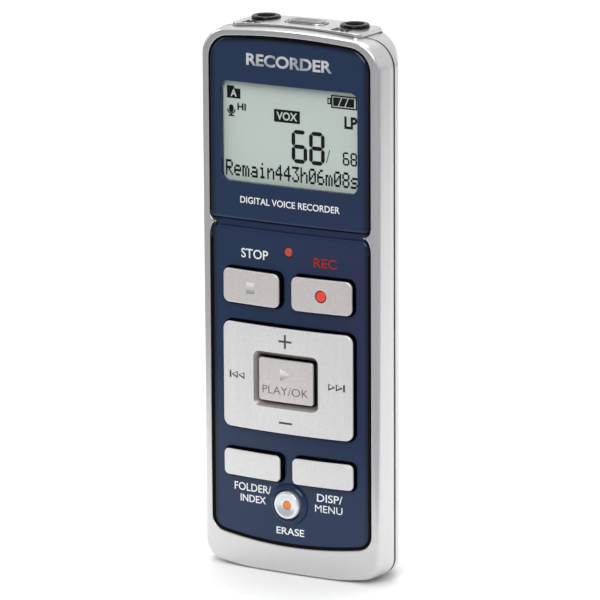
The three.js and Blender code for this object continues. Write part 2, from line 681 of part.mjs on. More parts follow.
function build() {
  const outer = rearOuter();
  const inner = rearInner();
  addPart('front_frame', frontFrame(), 'silver_paint');
  addPart('rear_case', rearCase(outer, inner), 'silver_paint');
  addPart('battery_cover', batteryCover(outer, inner), 'silver_paint');
  addPart('top_plate', topPlate(), 'silver_paint');
  addPart('display_lens', displayLens(), 'navy_gloss');
  addPart('key_panel', keyPanel(), 'navy_gloss');

  for (const [name, spec] of Object.entries(KEYS)) {
    const warm = name === 'stop_key' || name === 'rec_key';
    const dot = name === 'rec_key' ? [bar(spec.x, spec.z, 1.08, -3, -0.9, 20)] : [];
    addPart(name, cut(key(spec), ...dot), warm ? 'warm_key' : 'silver_key');
  }
  const recDot = turnedAlongDepth(KEYS.rec_key.x, KEYS.rec_key.z,
    [[0, -1.35], [0.7, -1.3], [1.0, -1.15], [1.0, -0.95], [0, -0.95]], 20);
  addPart('rec_dot', recDot, 'red_plastic');
  addPart('nav_pad', navPad(), 'silver_key');
  addPart('pad_pivot_ring', padPivotRing(), 'grey_rubber');
  addPart('play_key', playKey(), 'warm_key');
  addPart('erase_key', eraseKey(), 'silver_key');
  addPart('erase_dot', bar(0, ERASE_Z, 0.68, -1.0, -0.56, 16), 'orange_plastic');
  const ledLens = turnedAlongDepth(0, LED_Z, [[0, -0.15], [0.5, -0.08], [LED_RADIUS, 0.1], [LED_RADIUS, 2.2], [0, 2.2]], 16);
  addPart('led_lens', ledLens, 'red_plastic');
  addPart('led_chip', box(-0.8, 0.8, 3.4, 4.2, LED_Z - 0.5, LED_Z + 0.5), 'white_plastic');

  addPart('key_mat', keyMat(), 'grey_rubber');
  addPart('dome_sheet', domeSheet(), 'gold_film');
  addPart('main_board', mainBoard(), 'board_green');
  addPart('lcd_panel', box(-LCD_HALF, LCD_HALF, LCD_FRONT, LCD_BACK, LCD_Z - LCD_TALL, LCD_Z + LCD_TALL), 'lcd_glass');
  addPart('lcd_holder', lcdHolder(), 'black_plastic');
  addPart('lcd_connector', box(-13, 13, 3.2, 4.2, LCD_Z - 12.3, LCD_Z - LCD_TALL - 0.2), 'grey_rubber');
  addPart('processor_chip', box(-2, 7, 5.2, 6.2, 68.5, 77.5), 'black_plastic');
  addPart('memory_chip', box(-5, 5, 5.2, 6.2, 79.5, 87.5), 'black_plastic');
  addPart('clock_crystal', box(-6.8, -3.6, 5.2, 6.1, 74, 77.2), 'steel');
  addPart('capacitor', bar(10.6, 72, 2.0, 5.2, 9.2, 20), 'black_plastic');

  addPart('mic_jack', jack(-1), 'black_plastic');
  addPart('ear_jack', jack(1), 'black_plastic');
  addPart('mic_grille', micGrille(), 'steel');
  addPart('mic_capsule', post(0, MIC_DEPTH, 2.0, 96.6, 99.4), 'steel');
  addPart('mic_boot', cut(post(0, MIC_DEPTH, 2.9, 96.2, 99.2), post(0, MIC_DEPTH, 2.15, 96.5, 105)), 'grey_rubber');

  addPart('usb_socket', usbSocket(), 'steel');
  addPart('hold_knob', holdKnob(), 'silver_key');
  addPart('hold_switch', box(-16.2, -13.0, 5.2, 8.2, HOLD_Z - 5.5, HOLD_Z + 3), 'steel');

  addPart('speaker_grille', speakerGrille(), 'silver_paint');
  addPart('speaker_frame', speakerFrame(), 'steel');
  addPart('speaker_cone', speakerCone(), 'paper_cone');
  addPart('speaker_magnet', bar(0, SPEAKER_Z, 5.0, 11.0, 14.2), 'black_plastic');

  const cellTop = CELL_LOW + CELL_LONG;
  addPart('cell_left', cell(-CELL_X, true), 'cell_wrap');
  addPart('cell_right', cell(CELL_X, false), 'cell_wrap');
  addPart('spring_left', batterySpring(-CELL_X, BAY_LOW + 0.85, CELL_LOW - BAY_LOW - 1.3), 'steel');
  addPart('spring_right', batterySpring(CELL_X, BAY_HIGH - 0.85, cellTop - BAY_HIGH + 1.3), 'steel');
  addPart('contact_low', box(-10.6, 10.6, 7.3, 15, BAY_LOW + 0.1, BAY_LOW + 0.4), 'steel');
  for (const [name, side] of [['contact_left', -1], ['contact_right', 1]]) {
    const edges = [side * 10.6, side * 1.2].sort((a, b) => a - b);
    addPart(name, box(...edges, 7.3, 15, BAY_HIGH - 0.4, BAY_HIGH - 0.1), 'steel');
  }
  SCREWS.forEach((place, index) => addPart(`case_screw_${index + 1}`, screw(place), 'steel'));
}

build();

export default assembly;
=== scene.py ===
"""Handheld voice recorder: fine surfaces, finishes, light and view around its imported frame.

Shapes are worked out in millimetres: X to the right, Y from the face to the back, Z up.
"""
from math import cos, pi, radians, sin, sqrt

import bmesh
import bpy
from mathutils import Matrix, Vector


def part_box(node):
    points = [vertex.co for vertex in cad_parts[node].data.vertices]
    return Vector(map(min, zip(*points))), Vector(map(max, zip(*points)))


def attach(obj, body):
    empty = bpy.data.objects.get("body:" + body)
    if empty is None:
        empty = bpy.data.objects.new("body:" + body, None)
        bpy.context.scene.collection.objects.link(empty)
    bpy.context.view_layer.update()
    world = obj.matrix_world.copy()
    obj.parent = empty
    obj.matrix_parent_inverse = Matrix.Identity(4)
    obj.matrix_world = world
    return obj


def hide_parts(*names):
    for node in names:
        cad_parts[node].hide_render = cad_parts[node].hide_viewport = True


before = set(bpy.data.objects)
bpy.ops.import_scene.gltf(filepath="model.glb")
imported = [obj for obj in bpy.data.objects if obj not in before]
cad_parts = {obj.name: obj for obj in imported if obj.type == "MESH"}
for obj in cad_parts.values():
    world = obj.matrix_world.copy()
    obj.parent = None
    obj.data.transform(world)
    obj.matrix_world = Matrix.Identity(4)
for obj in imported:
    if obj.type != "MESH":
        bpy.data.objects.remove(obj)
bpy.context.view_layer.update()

MM = 0.001


def span(node):
    """Lowest and highest corner of a CAD node, in millimetres."""
    low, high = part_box(node)
    return low / MM, high / MM


# ---- Driving dimensions ----
LENS_LOW, LENS_HIGH = span("display_lens")
PANEL_LOW = span("key_panel")[0]
FACE_Y = LENS_LOW.y  # middle of the navy face; every depth counts back from here
FACE_RADIUS = 200
LENS_RADIUS = 350
KEY_RADIUS = 107
CROWN_RADIUS = 115
CHIN_RADIUS = 90
LOW_CORNER_SHARE = 0.62
FOOT_FLAT = 7
FOOT_RADIUS = 42
PANEL_HALF = LENS_HIGH.x
PANEL_TOP = LENS_HIGH.z
PANEL_GAP = 0.32
PANEL_GAP_LOW = 0.14
PANEL_CORNER = 3.7
PANEL_EDGE = 0.55
PANEL_EDGE_DEEP = 0.4
PANEL_BACK = 1.6
LENS_BACK = 0.9
GROOVE_HIGH = LENS_LOW.z
GROOVE_LOW = 64.0
GROOVE_DEEP = 0.85
# Front of the black strip that stands in for the shadow in the panel gap.
GAP_SHADOW_FRONT = -0.02
NOTCH_DEEP = 1.5
NOTCH_TIP = 64.65
NOTCH_UP = 1.75
NOTCH_DOWN = 2.9
SHOULDER_WIDE = 1.6
SHOULDER_TALL = 2.4

FRAME_FRONT = -0.2
FRAME_FLAT_HALF = 17.1
FRAME_ROUND = 0.9
FRAME_ROUND_DEEP = 1.6
FRAME_DRAFT = 0.275
SEAM_FRONT = 4.6
SEAM_BACK = 4.9
WALL = 1.2
CROWN_TOP = 101.2
PLATE_TOP = 101.6
BACK = 18.1
SHELL_WALL = 1.1
ABOVE_ALL = 105
BEHIND_ALL = 20

KEY_PROUD = 1.4
KEY_LIP = 0.65
KEY_ROUND = 0.26
KEY_GAP = 0.22
HOLE_CHAMFER = 0.3
FLANGE_FRONT = 2.45
FLANGE_BACK = 2.85
PAD_LIP = 0.55
PAD_FLANGE_FRONT = 2.72
PAD_FLANGE_BACK = 3.0
PAD_CORNER = 1.5
PLAY_LIFT = 0.05
WINDOW_HALF = 6.78
WINDOW_TALL = 5.17
WINDOW_SLOPE = 0.75

COVER_FRONT = 15.4
COVER_TOP = 62.4
SCREWS = [(-14.2, 9.4), (14.2, 9.4), (-14.2, 95.6), (14.2, 95.6)]
SCREW_WELL = 1.6
SCREW_BORE = 1.05
BOSS_RADIUS = 2.2
SPEAKER_Z = 82
JACK_X = 9.2
JACK_DEPTH = 8.5
JACK_HOLE = 2.75
MIC_DEPTH = 7.2
ERASE_HOLE = 2.82
LED_HOLE = 0.9

# depth, half width, top, lowest point and corner radius of the rear case
REAR_SECTIONS = [
    (4.9, 19.42, 101.2, 0.0, 4.4),
    (5.6, 19.5, 101.2, 0.0, 4.4),
    (6.4, 19.3, 101.2, 0.0, 4.4),
    (7.6, 18.6, 101.2, 0.0, 4.4),
    (9.5, 17.5, 101.2, 0.1, 4.6),
    (12.0, 16.1, 101.1, 1.2, 4.6),
    (14.0, 14.9, 100.2, 3.0, 5.2),
    (15.4, 13.9, 99.0, 5.0, 5.6),
    (16.6, 12.8, 97.5, 7.4, 5.8),
    (17.6, 11.5, 95.6, 10.0, 6.0),
    (18.1, 10.2, 93.8, 12.4, 6.0),
]


# ---- View ----
def camera():
    """A long lens a metre away, from the right of the face and a little above."""
    turn, rise, lean = radians(29.97), radians(13.32), 0.0056
    distance, aim_left, aim_down = 1002.9, 2.08, 1.02
    back = Vector((sin(turn) * cos(rise), -cos(turn) * cos(rise), sin(rise)))
    right = Vector((cos(turn), sin(turn), 0))
    up = back.cross(right)
    across = (right - lean * up).normalized()
    upward = back.cross(across)
    place = Vector((0, 0, 51)) + distance * back - aim_left * right - aim_down * up
    data = bpy.data.cameras.new("view")
    data.lens = 330
    data.sensor_width = 36
    data.clip_start = 0.01
    made = bpy.data.objects.new("view", data)
    bpy.context.scene.collection.objects.link(made)
    turned_to = Matrix((across, upward, back)).transposed()
    made.matrix_world = Matrix.Translation(place * MM) @ turned_to.to_4x4()
    bpy.context.scene.camera = made


# ---- Shader tools ----
def shader_group(name, inputs, outputs):
    tree = bpy.data.node_groups.new(name, "ShaderNodeTree")
    for label, kind, value in inputs:
        socket = tree.interface.new_socket(name=label, in_out="INPUT", socket_type=kind)
        if value is not None:
            socket.default_value = value
    for label, kind in outputs:
        tree.interface.new_socket(name=label, in_out="OUTPUT", socket_type=kind)
    return tree, tree.nodes.new("NodeGroupInput"), tree.nodes.new("NodeGroupOutput")


def math_node(tree, operation, first, second):
    made = tree.nodes.new("ShaderNodeMath")
    made.operation = operation
    for socket, value in zip(made.inputs, (first, second)):
        if isinstance(value, (int, float)):
            socket.default_value = value
        else:
            tree.links.new(value, socket)
    return made.outputs[0]


def noise(tree, vector, scale, detail=2.0):
    made = tree.nodes.new("ShaderNodeTexNoise")
    made.inputs["Detail"].default_value = detail
    tree.links.new(vector, made.inputs["Vector"])
    if isinstance(scale, (int, float)):
        made.inputs["Scale"].default_value = scale
    else:
        tree.links.new(scale, made.inputs["Scale"])
    return made.outputs["Fac"]


def centred(tree, value, amount):
    """A 0 to 1 value turned into a swing of plus or minus half the amount."""
    return math_node(tree, "MULTIPLY", math_node(tree, "SUBTRACT", value, 0.5), amount)


def surface_group():
    """Flakes, soft clouds, handling marks and a fine skin, shared by every moulded or painted finish."""
    tree, given, result = shader_group(
        "moulded_surface",
        [("Vector", "NodeSocketVector", None), ("Flake Scale", "NodeSocketFloat", 9000.0),
         ("Flake Strength", "NodeSocketFloat", 0.1), ("Cloud Strength", "NodeSocketFloat", 0.05),
         ("Handling", "NodeSocketFloat", 0.1), ("Roughness", "NodeSocketFloat", 0.4),
         ("Skin Scale", "NodeSocketFloat", 3000.0)],
        [("Shade", "NodeSocketFloat"), ("Roughness", "NodeSocketFloat"), ("Height", "NodeSocketFloat")])
    vector = given.outputs["Vector"]
    flakes = tree.nodes.new("ShaderNodeTexVoronoi")
    tree.links.new(vector, flakes.inputs["Vector"])
    tree.links.new(given.outputs["Flake Scale"], flakes.inputs["Scale"])
    flake = centred(tree, flakes.outputs["Color"], given.outputs["Flake Strength"])
    cloud = centred(tree, noise(tree, vector, 90.0, 3.0), given.outputs["Cloud Strength"])
    shade = math_node(tree, "ADD", math_node(tree, "ADD", flake, cloud), 1.0)
    tree.links.new(shade, result.inputs["Shade"])
    marks = centred(tree, noise(tree, vector, 260.0, 5.0), given.outputs["Handling"])
    rough = math_node(tree, "ADD", marks, given.outputs["Roughness"])
    tree.links.new(math_node(tree, "MAXIMUM", rough, 0.02), result.inputs["Roughness"])
    tree.links.new(noise(tree, vector, given.outputs["Skin Scale"], 2.0), result.inputs["Height"])
    return tree


def edge_group():
    """Brighter rims where paint is polished by handling."""
    tree, given, result = shader_group(
        "polished_edge",
        [("Vector", "NodeSocketVector", None), ("Amount", "NodeSocketFloat", 0.1)],
        [("Mask", "NodeSocketFloat")])
    geometry = tree.nodes.new("ShaderNodeNewGeometry")
    ramp = tree.nodes.new("ShaderNodeMapRange")
    ramp.inputs["From Min"].default_value = 0.51
    ramp.inputs["From Max"].default_value = 0.60
    tree.links.new(geometry.outputs["Pointiness"], ramp.inputs["Value"])
    speckle = noise(tree, given.outputs["Vector"], 700.0, 4.0)
    broken = math_node(tree, "MULTIPLY", ramp.outputs["Result"], speckle)
    tree.links.new(math_node(tree, "MULTIPLY", broken, given.outputs["Amount"]), result.inputs["Mask"])
    return tree


def brushed_group():
    """Fine lines drawn along one axis, for plated and pressed metal."""
    tree, given, result = shader_group(
        "brushed_lines",
        [("Vector", "NodeSocketVector", None), ("Strength", "NodeSocketFloat", 0.2)],
        [("Shade", "NodeSocketFloat"), ("Height", "NodeSocketFloat")])
    stretch = tree.nodes.new("ShaderNodeMapping")
    stretch.inputs["Scale"].default_value = (400, 400, 9000)
    tree.links.new(given.outputs["Vector"], stretch.inputs["Vector"])
    lines = noise(tree, stretch.outputs["Vector"], 1.0, 3.0)
    tree.links.new(lines, result.inputs["Height"])
    swing = centred(tree, lines, given.outputs["Strength"])
    tree.links.new(math_node(tree, "ADD", swing, 1.0), result.inputs["Shade"])
    return tree


GROUPS = {"surface": surface_group(), "edge": edge_group(), "brushed": brushed_group()}


def use_group(tree, name, vector, **values):
    made = tree.nodes.new("ShaderNodeGroup")
    made.node_tree = GROUPS[name]
    tree.links.new(vector, made.inputs["Vector"])
    for label, value in values.items():
        made.inputs[label.replace("_", " ")].default_value = value
    return made


def start_material(name):
    made = bpy.data.materials.new(name)
    made.use_nodes = True
    shader = made.node_tree.nodes["Principled BSDF"]
    place = made.node_tree.nodes.new("ShaderNodeTexCoord").outputs["Object"]
    return made, made.node_tree, shader, place


def tinted(tree, colour, shade):
    """A colour scaled by a shade value."""
    made = tree.nodes.new("ShaderNodeMix")
    made.data_type = "RGBA"
    made.blend_type = "MULTIPLY"
    made.inputs["Factor"].default_value = 1.0
    if isinstance(colour, tuple):
        made.inputs["A"].default_value = (*colour, 1)
    else:
        tree.links.new(colour, made.inputs["A"])
    tree.links.new(shade, made.inputs["B"])
    return made.outputs["Result"]


def two_tone(tree, mask, first, second):
    made = tree.nodes.new("ShaderNodeMix")
    made.data_type = "RGBA"
    made.inputs["A"].default_value = (*first, 1)
    made.inputs["B"].default_value = (*second, 1)
    tree.links.new(mask, made.inputs["Factor"])
    return made.outputs["Result"]


def stepped(tree, value, low, high):
    made = tree.nodes.new("ShaderNodeMapRange")
    made.interpolation_type = "SMOOTHSTEP"
    made.inputs["From Min"].default_value = low
    made.inputs["From Max"].default_value = high
    tree.links.new(value, made.inputs["Value"])
    return made.outputs["Result"]


def bump(tree, shader, height, strength, distance=0.00002):
    made = tree.nodes.new("ShaderNodeBump")
    made.inputs["Strength"].default_value = strength
    made.inputs["Distance"].default_value = distance
    tree.links.new(height, made.inputs["Height"])
    tree.links.new(made.outputs["Normal"], shader.inputs["Normal"])


def moulded(name, colour, roughness, metallic=0.0, specular=0.5, flake=0.0, flake_scale=9000.0,
            cloud=0.05, handling=0.08, skin=0.06, skin_scale=3000.0, edge=0.0,
            second=None, second_scale=45.0):
    """Painted or moulded plastic: one finish with its own grain, clouds, handling and polished rims."""
    made, tree, shader, place = start_material(name)
    shader.inputs["Metallic"].default_value = metallic
    shader.inputs["Specular IOR Level"].default_value = specular
    surface = use_group(tree, "surface", place, Flake_Scale=flake_scale, Flake_Strength=flake,
                        Cloud_Strength=cloud, Handling=handling, Roughness=roughness, Skin_Scale=skin_scale)
    shade = surface.outputs["Shade"]
    if edge:
        rim = use_group(tree, "edge", place, Amount=edge)
        shade = math_node(tree, "ADD", shade, rim.outputs["Mask"])
    base = colour
    if second:
        patches = stepped(tree, noise(tree, place, second_scale, 1.0), 0.42, 0.62)
        base = two_tone(tree, patches, colour, second)
    tree.links.new(tinted(tree, base, shade), shader.inputs["Base Color"])
    tree.links.new(surface.outputs["Roughness"], shader.inputs["Roughness"])
    bump(tree, shader, surface.outputs["Height"], skin)
    return made


def lacquered_face(name, colour, reflection_tint, rim_shade):
    """Navy lacquer with a painted reflection, a warmer purplish tint in soft patches on the right, and
    painted shade darkening it towards the rim.
    """
    made, tree, shader, place = start_material(name)
    shader.inputs["Specular IOR Level"].default_value = 0.27
    split = tree.nodes.new("ShaderNodeSeparateXYZ")
    tree.links.new(place, split.inputs["Vector"])
    x, z = split.outputs["X"], split.outputs["Z"]
    # Painted reflection: a soft stretch on the right half, between about 16 and 98 mm up, tinted warmer in
    # noise patches.
    right = stepped(tree, x, -0.008, 0.014)
    low = stepped(tree, z, 0.016, 0.028)
    high = math_node(tree, "SUBTRACT", 1.0, stepped(tree, z, 0.060, 0.098))
    reflection_band = math_node(tree, "MULTIPLY", right, math_node(tree, "MULTIPLY", low, high))
    cloud = math_node(tree, "MULTIPLY", reflection_band, stepped(tree, noise(tree, place, 60.0, 1.0), 0.25, 0.6))
    # Painted shade: the colour turns almost black towards the sides and top of the face, where the rim stands
    # over it.
    across = math_node(tree, "ABSOLUTE", x, 0.0)
    sides = stepped(tree, across, (PANEL_HALF - 1.5) * MM, (PANEL_HALF - 0.1) * MM)
    arch = math_node(tree, "DIVIDE", math_node(tree, "MULTIPLY", x, x), 2 * CROWN_RADIUS * MM)
    top = stepped(tree, math_node(tree, "ADD", z, arch), (PANEL_TOP - 1.3) * MM, (PANEL_TOP - 0.1) * MM)
    rim = math_node(tree, "MULTIPLY", math_node(tree, "MAXIMUM", sides, top), 0.85)
    tone = tree.nodes.new("ShaderNodeMix")
    tone.data_type = "RGBA"
    tree.links.new(rim, tone.inputs["Factor"])
    tree.links.new(two_tone(tree, cloud, colour, reflection_tint), tone.inputs["A"])
    tone.inputs["B"].default_value = (*rim_shade, 1)
    surface = use_group(tree, "surface", place, Cloud_Strength=0.12, Handling=0.015, Roughness=0.06,
                        Flake_Strength=0.0, Skin_Scale=500.0)
    shaded = tinted(tree, tone.outputs["Result"], surface.outputs["Shade"])
    tree.links.new(shaded, shader.inputs["Base Color"])
    tree.links.new(surface.outputs["Roughness"], shader.inputs["Roughness"])
    bump(tree, shader, surface.outputs["Height"], 0.004)
    return made


def brushed(name, colour, roughness, strength=0.25):
    made, tree, shader, place = start_material(name)
    shader.inputs["Metallic"].default_value = 1.0
    lines = use_group(tree, "brushed", place, Strength=strength)
    surface = use_group(tree, "surface", place, Flake_Strength=0.03, Roughness=roughness)
    shade = math_node(tree, "MULTIPLY", lines.outputs["Shade"], surface.outputs["Shade"])
    tree.links.new(tinted(tree, colour, shade), shader.inputs["Base Color"])
    tree.links.new(surface.outputs["Roughness"], shader.inputs["Roughness"])
    bump(tree, shader, lines.outputs["Height"], 0.12)
    return made


def banded(name, first, second, axis, edge_at, soft, roughness, metallic=0.0):
    """Two colours meeting at one height along an axis, such as a printed sleeve, or painted shade across a
    small raised sign.
    """
    made, tree, shader, place = start_material(name)
    shader.inputs["Metallic"].default_value = metallic
    split = tree.nodes.new("ShaderNodeSeparateXYZ")
    tree.links.new(place, split.inputs["Vector"])
    mask = stepped(tree, split.outputs[axis], edge_at - soft, edge_at + soft)
    surface = use_group(tree, "surface", place, Flake_Strength=0.04, Cloud_Strength=0.06, Roughness=roughness)
    base = two_tone(tree, mask, first, second)
    tree.links.new(tinted(tree, base, surface.outputs["Shade"]), shader.inputs["Base Color"])
    tree.links.new(surface.outputs["Roughness"], shader.inputs["Roughness"])
    bump(tree, shader, surface.outputs["Height"], 0.05)
    return made


def clear_pane():
    """The unprinted window of the lens: almost nothing but a faint gloss."""
    made, tree, shader, place = start_material("clear_pane")
    shader.inputs["Base Color"].default_value = (0.02, 0.025, 0.02, 1)
    surface = use_group(tree, "surface", place, Handling=0.03, Roughness=0.06)
    tree.links.new(surface.outputs["Roughness"], shader.inputs["Roughness"])
    alpha = math_node(tree, "MULTIPLY", surface.outputs["Shade"], 0.05)
    tree.links.new(alpha, shader.inputs["Alpha"])
    return made


def circuit_board():
    """Green solder mask over copper tracks that run in small steps."""
    made, tree, shader, place = start_material("circuit_board")
    tracks = tree.nodes.new("ShaderNodeTexBrick")
    tracks.inputs["Scale"].default_value = 1.0
    tracks.inputs["Brick Width"].default_value = 0.0034
    tracks.inputs["Row Height"].default_value = 0.0009
    tracks.inputs["Mortar Size"].default_value = 0.00012
    tracks.inputs["Color1"].default_value = (0.010, 0.10, 0.045, 1)
    tracks.inputs["Color2"].default_value = (0.014, 0.13, 0.055, 1)
    tracks.inputs["Mortar"].default_value = (0.05, 0.24, 0.09, 1)
    upright = tree.nodes.new("ShaderNodeMapping")
    upright.inputs["Rotation"].default_value = (radians(90), 0, 0)
    tree.links.new(place, upright.inputs["Vector"])
    tree.links.new(upright.outputs["Vector"], tracks.inputs["Vector"])
    surface = use_group(tree, "surface", place, Roughness=0.32)
    shaded = tinted(tree, tracks.outputs["Color"], surface.outputs["Shade"])
    tree.links.new(shaded, shader.inputs["Base Color"])
    tree.links.new(surface.outputs["Roughness"], shader.inputs["Roughness"])
    bump(tree, shader, tracks.outputs["Fac"], 0.3)
    return made


FINISHES = {
    "silver_body": moulded("silver_body", (0.62, 0.62, 0.625), 0.25, metallic=0.9, flake=0.10,
                           flake_scale=7000, cloud=0.03, edge=0.10),
    "silver_key": moulded("silver_key", (0.70, 0.70, 0.70), 0.46, metallic=0.45, flake=0.16, flake_scale=6000,
                          cloud=0.03, edge=0.12),
    "pearl_key": moulded("pearl_key", (0.70, 0.73, 0.76), 0.16, metallic=0.6, flake=0.05, cloud=0.03),
    "warm_key": moulded("warm_key", (0.65, 0.615, 0.60), 0.42, metallic=0.55, flake=0.22, flake_scale=6000,
                        cloud=0.06, edge=0.12),
    "warm_slope": moulded("warm_slope", (0.30, 0.275, 0.26), 0.30, metallic=0.55, flake=0.10, cloud=0.05),
    # Painted shade on the raised stop and play signs: dark grey below a set height, light above it.
    "stop_sign_painted_shade": banded("stop_sign_painted_shade", (0.20, 0.20, 0.20), (0.78, 0.78, 0.79), "Z", 0.0530, 0.0012, 0.3, 0.3),
    "play_sign_painted_shade": banded("play_sign_painted_shade", (0.20, 0.20, 0.20), (0.82, 0.82, 0.83), "Z", 0.0376, 0.0012, 0.3, 0.3),
    # Navy, with a painted reflection tint as second colour and a near-black painted rim shade as third.
    "navy_face": lacquered_face("navy_face", (0.0125, 0.0285, 0.073), (0.0180, 0.0250, 0.069),
                                (0.001, 0.002, 0.005)),
    "black_gloss": moulded("black_gloss", (0.003, 0.003, 0.004), 0.12, specular=0.15,
                           handling=0.04, skin=0.02),
    # Black for the strip that is painted shadow in the panel gap.
    "gap_shadow_black": moulded("gap_shadow_black", (0.003, 0.003, 0.003), 0.6, specular=0.05, skin=0.02),
    "black_plastic": moulded("black_plastic", (0.016, 0.016, 0.017), 0.32, handling=0.10, skin=0.12),
    "red_mark": moulded("red_mark", (0.78, 0.045, 0.018), 0.34, flake=0.05, handling=0.06),
    "led_red": moulded("led_red", (0.50, 0.055, 0.025), 0.28, flake=0.05),
    "orange_mark": moulded("orange_mark", (0.82, 0.22, 0.012), 0.38, flake=0.05),
    "white_print": moulded("white_print", (0.78, 0.79, 0.80), 0.5, flake=0.04, skin=0.03),
    "red_print": moulded("red_print", (0.36, 0.022, 0.008), 0.6, specular=0.1, flake=0.04, skin=0.03),
    "dark_print": moulded("dark_print", (0.015, 0.015, 0.016), 0.6, specular=0.1, flake=0.04, skin=0.03),
    "silver_print": moulded("silver_print", (0.86, 0.86, 0.87), 0.30, metallic=0.7, flake=0.05,
                            cloud=0.5, second=(0.50, 0.54, 0.58), second_scale=260),
    "engraved": moulded("engraved", (0.075, 0.058, 0.048), 0.45, metallic=0.3, flake=0.08),
    "lcd": moulded("lcd", (0.60, 0.685, 0.635), 0.42, specular=0.25, flake=0.035, flake_scale=5200,
                   cloud=0.04, handling=0.04, skin=0.02),
    "lcd_ink": moulded("lcd_ink", (0.008, 0.009, 0.008), 0.6, specular=0.08, flake=0.05),
    "white_plastic": moulded("white_plastic", (0.70, 0.70, 0.67), 0.45, skin=0.1),
    "grey_rubber": moulded("grey_rubber", (0.15, 0.155, 0.16), 0.75, cloud=0.12, skin=0.3),
    "dome_film": moulded("dome_film", (0.52, 0.33, 0.10), 0.28, metallic=0.5, cloud=0.2, flake=0.1),
    "speaker_paper": moulded("speaker_paper", (0.022, 0.022, 0.022), 0.9, cloud=0.5, skin=0.5,
                             skin_scale=1500),
    "magnet": moulded("magnet", (0.05, 0.05, 0.053), 0.5, metallic=0.6, flake=0.3, skin=0.3),
    "steel": brushed("steel", (0.60, 0.60, 0.61), 0.28),
    "grille_metal": brushed("grille_metal", (0.42, 0.41, 0.40), 0.22, 0.45),
    "board": circuit_board(),
    "clear_pane": clear_pane(),
    "cell_wrap": banded("cell_wrap", (0.60, 0.43, 0.16), (0.035, 0.12, 0.30), "Z", 0.0375, 0.0002, 0.3, 0.5),
}


# ---- Mesh tools ----
def link(piece):
    bpy.context.scene.collection.objects.link(piece)
    return piece


def mesh_object(name, points, faces, merge=0.0001):
    """A mesh from millimetre points, its doubles merged and its faces turned outwards."""
    mesh = bpy.data.meshes.new(name)
    mesh.from_pydata([Vector(point) * MM for point in points], [], faces)
    shape = bmesh.new()
    shape.from_mesh(mesh)
    bmesh.ops.remove_doubles(shape, verts=shape.verts, dist=merge * MM)
    bmesh.ops.recalc_face_normals(shape, faces=shape.faces)
    shape.to_mesh(mesh)
    shape.free()
    return link(bpy.data.objects.new(name, mesh))


def settle(piece):
    """Turns a piece and its modifiers into one plain mesh."""
    bpy.context.view_layer.update()
    seen = piece.evaluated_get(bpy.context.evaluated_depsgraph_get())
    mesh = bpy.data.meshes.new_from_object(seen)
    piece.modifiers.clear()
    if piece.type == "MESH":
        piece.data = mesh
        return piece
    made = link(bpy.data.objects.new(piece.name + "_mesh", mesh))
    bpy.data.objects.remove(piece)
    return made


def boolean(piece, tool, operation="DIFFERENCE"):
    """Cuts, joins or meets a piece with a tool, and uses the tool up."""
    made = piece.modifiers.new("shape", "BOOLEAN")
    made.operation = operation
    made.solver = "MANIFOLD"
    made.object = tool
    settle(piece)
    bpy.data.objects.remove(tool)
    return piece


def cut_all(piece, *tools):
    for tool in tools:
        boolean(piece, tool)
    return piece


def smooth(piece, angle=32, weighted=False):
    piece.data.shade_smooth()
    piece.data.set_sharp_from_angle(angle=radians(angle))
    if weighted:
        made = piece.modifiers.new("normals", "WEIGHTED_NORMAL")
        made.keep_sharp = True
        made.weight = 80
        settle(piece)
    return piece


def finish(piece, finish_name, body, slot, *nodes, angle=32, weighted=False):
    """Shades a piece, gives it its finish, ties it to its body and hides the CAD nodes it stands for; the
    slot is not used.
    """
    smooth(piece, angle, weighted)
    piece.data.materials.clear()
    piece.data.materials.append(FINISHES[finish_name])
    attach(piece, body)
    if nodes:
        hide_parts(*nodes)
    return piece


def quarter(share):
    """How far a quarter-round has turned in after a share of its length."""
    return 1 - sqrt(max(1 - (1 - share) ** 2, 0))


def columns(half, top, low, corner, crown=None, foot=None, centre=0.0, steps=(9, 30), low_share=1.0):
    """Upright columns across a rounded outline, as (x, high, low)."""
    bends, middle = steps
    turns = [i / bends * pi / 2 for i in range(bends)]
    offsets = [corner * (1 - cos(turn)) - half for turn in turns]
    offsets += [(half - corner) * (2 * i / middle - 1) for i in range(middle + 1)]
    offsets += [half - corner * (1 - cos(turn)) for turn in reversed(turns)]
    result = []
    for x in offsets:
        high, lift = (radius * quarter(1 - max(abs(x) - (half - radius), 0) / radius)
                      for radius in (corner, corner * low_share))
        arch = crown(x) if crown else 0
        rise = foot(x) if foot else 0
        result.append((centre + x, top - high - arch, low + lift + rise))
    return result


def ring(cols):
    """The outline of a set of columns: along the top to the right, back along the bottom."""
    return [(x, high) for x, high, _ in cols] + [(x, low) for x, _, low in reversed(cols)]


def inset(outline, amount):
    """The outline moved inwards along its own normals."""
    count = len(outline)
    moved = []
    for i, (x, z) in enumerate(outline):
        before = Vector((x - outline[i - 1][0], z - outline[i - 1][1])).normalized()
        after = Vector((outline[(i + 1) % count][0] - x, outline[(i + 1) % count][1] - z)).normalized()
        total = Vector((before.y + after.y, -before.x - after.x))
        reach = amount / max(1 + before.dot(after), 0.5)
        moved.append((x + total.x * reach, z + total.y * reach))
    return moved


def bowed(depth, radius):
    return lambda x: FACE_Y + depth + x * x / (2 * radius)


def level(depth):
    return lambda x: FACE_Y + depth


def place(outline, surface, sink=0.0):
    return [(x, surface(x) + sink, z) for x, z in outline]


